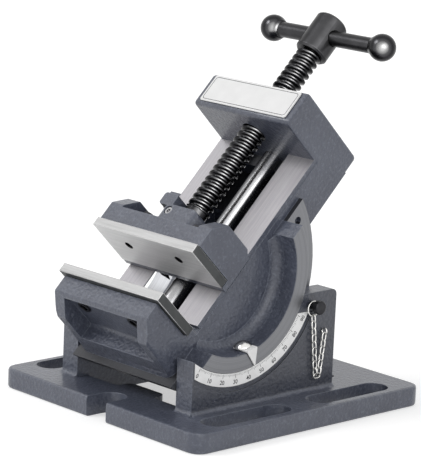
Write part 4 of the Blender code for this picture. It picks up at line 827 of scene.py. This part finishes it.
inkX = dialHigh.x + dial["inkThickness"] * mm / 2
dialPlace = Matrix.Translation((inkX, tiltAxis.y, tiltAxis.z)) @ Matrix.Scale(mm, 4)
grown("dial_marks", tree, {
    "Marks": dial["degrees"] + 1, "First Angle": math.radians(dial["first"]),
    "Last Angle": math.radians(dial["last"]), "Inner Radius": dial["inner"],
    "Short": dial["shortMark"], "Middle": dial["middleMark"], "Long": dial["longMark"],
    "Width": dial["markWidth"], "Ten Width": dial["tenWidth"], "Ink": dial["inkThickness"],
    "Finish": finishes["dialInk"]}, dialPlace, carriedBy["dial_strip"])

for degree in range(0, dial["degrees"] + 1, dial["numberStep"]):
    text = bpy.data.curves.new("dialNumber", "FONT")
    text.body, text.size = str(degree), dial["numberSize"]
    text.align_x = text.align_y = "CENTER"
    text.extrude, text.offset = dial["inkThickness"] / 2, dial["boldness"]
    text.resolution_u = dial["curveSteps"]
    drawn = bpy.data.objects.new("dialNumber", text)
    bpy.context.scene.collection.objects.link(drawn)
    bpy.context.view_layer.update()
    mesh = bpy.data.meshes.new_from_object(drawn.evaluated_get(bpy.context.evaluated_depsgraph_get()))
    bpy.data.objects.remove(drawn)
    turn = math.radians(dial["first"] + (dial["last"] - dial["first"]) * degree / dial["degrees"])
    outward = Vector((0, math.cos(turn), math.sin(turn)))
    up, facing = -outward, Vector((1, 0, 0))
    upright = Matrix((up.cross(facing), up, facing)).transposed().to_4x4()
    mesh.transform(dialPlace @ Matrix.Translation(outward * dial["numberRadius"]) @ upright)
    mesh.materials.clear()
    mesh.materials.append(finishes["dialInk"])
    shape = bmesh.new()
    shape.from_mesh(mesh)
    bmesh.ops.remove_doubles(shape, verts=shape.verts, dist=fineWeld)
    bmesh.ops.recalc_face_normals(shape, faces=shape.faces)
    shape.to_mesh(mesh)
    shape.free()
    mesh.name = "dial_number_%02d" % degree
    number = bpy.data.objects.new(mesh.name, mesh)
    bpy.context.scene.collection.objects.link(number)
    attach(number, carriedBy["dial_strip"])
print("dial marked")

# ---- border line of the bare name plate
border = {"inset": 1.5, "width": 0.42, "thickness": 0.03, "cornerRadius": 2.2, "cornerSteps": 5}
plateLow, plateHigh = bodyBox("name_plate")


def roundedOutline(lowX, lowY, highX, highY, radius, steps):
    # corner points of a rectangle with round corners, anticlockwise
    points = []
    corners = ((highX - radius, highY - radius, 0), (lowX + radius, highY - radius, 90),
               (lowX + radius, lowY + radius, 180), (highX - radius, lowY + radius, 270))
    for x, y, start in corners:
        for i in range(steps + 1):
            turn = math.radians(start + 90 * i / steps)
            points.append((x + radius * math.cos(turn), y + radius * math.sin(turn)))
    return points


shape = bmesh.new()
loops = []
for inset in (border["inset"], border["inset"] + border["width"]):
    outline = roundedOutline(plateLow.x + inset * mm, plateLow.y + inset * mm, plateHigh.x - inset * mm,
                             plateHigh.y - inset * mm, (border["cornerRadius"] - inset + border["inset"]) * mm,
                             border["cornerSteps"])
    for height in (0, border["thickness"] * mm):
        loops.append([shape.verts.new((x, y, plateHigh.z + height)) for x, y in outline])
outerLow, outerHigh, innerLow, innerHigh = loops
count = len(outerLow)
for first, second in ((outerLow, outerHigh), (outerHigh, innerHigh), (innerHigh, innerLow), (innerLow, outerLow)):
    for i in range(count):
        shape.faces.new((first[i], first[(i + 1) % count], second[(i + 1) % count], second[i]))
bmesh.ops.recalc_face_normals(shape, faces=shape.faces)
mesh = bpy.data.meshes.new("name_plate_border")
shape.to_mesh(mesh)
shape.free()
mesh.transform(bodyPlace)
mesh.materials.append(finishes["plateLine"])
plateBorder = bpy.data.objects.new("name_plate_border", mesh)
bpy.context.scene.collection.objects.link(plateBorder)
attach(plateBorder, carriedBy["name_plate"])
print("name plate bordered")
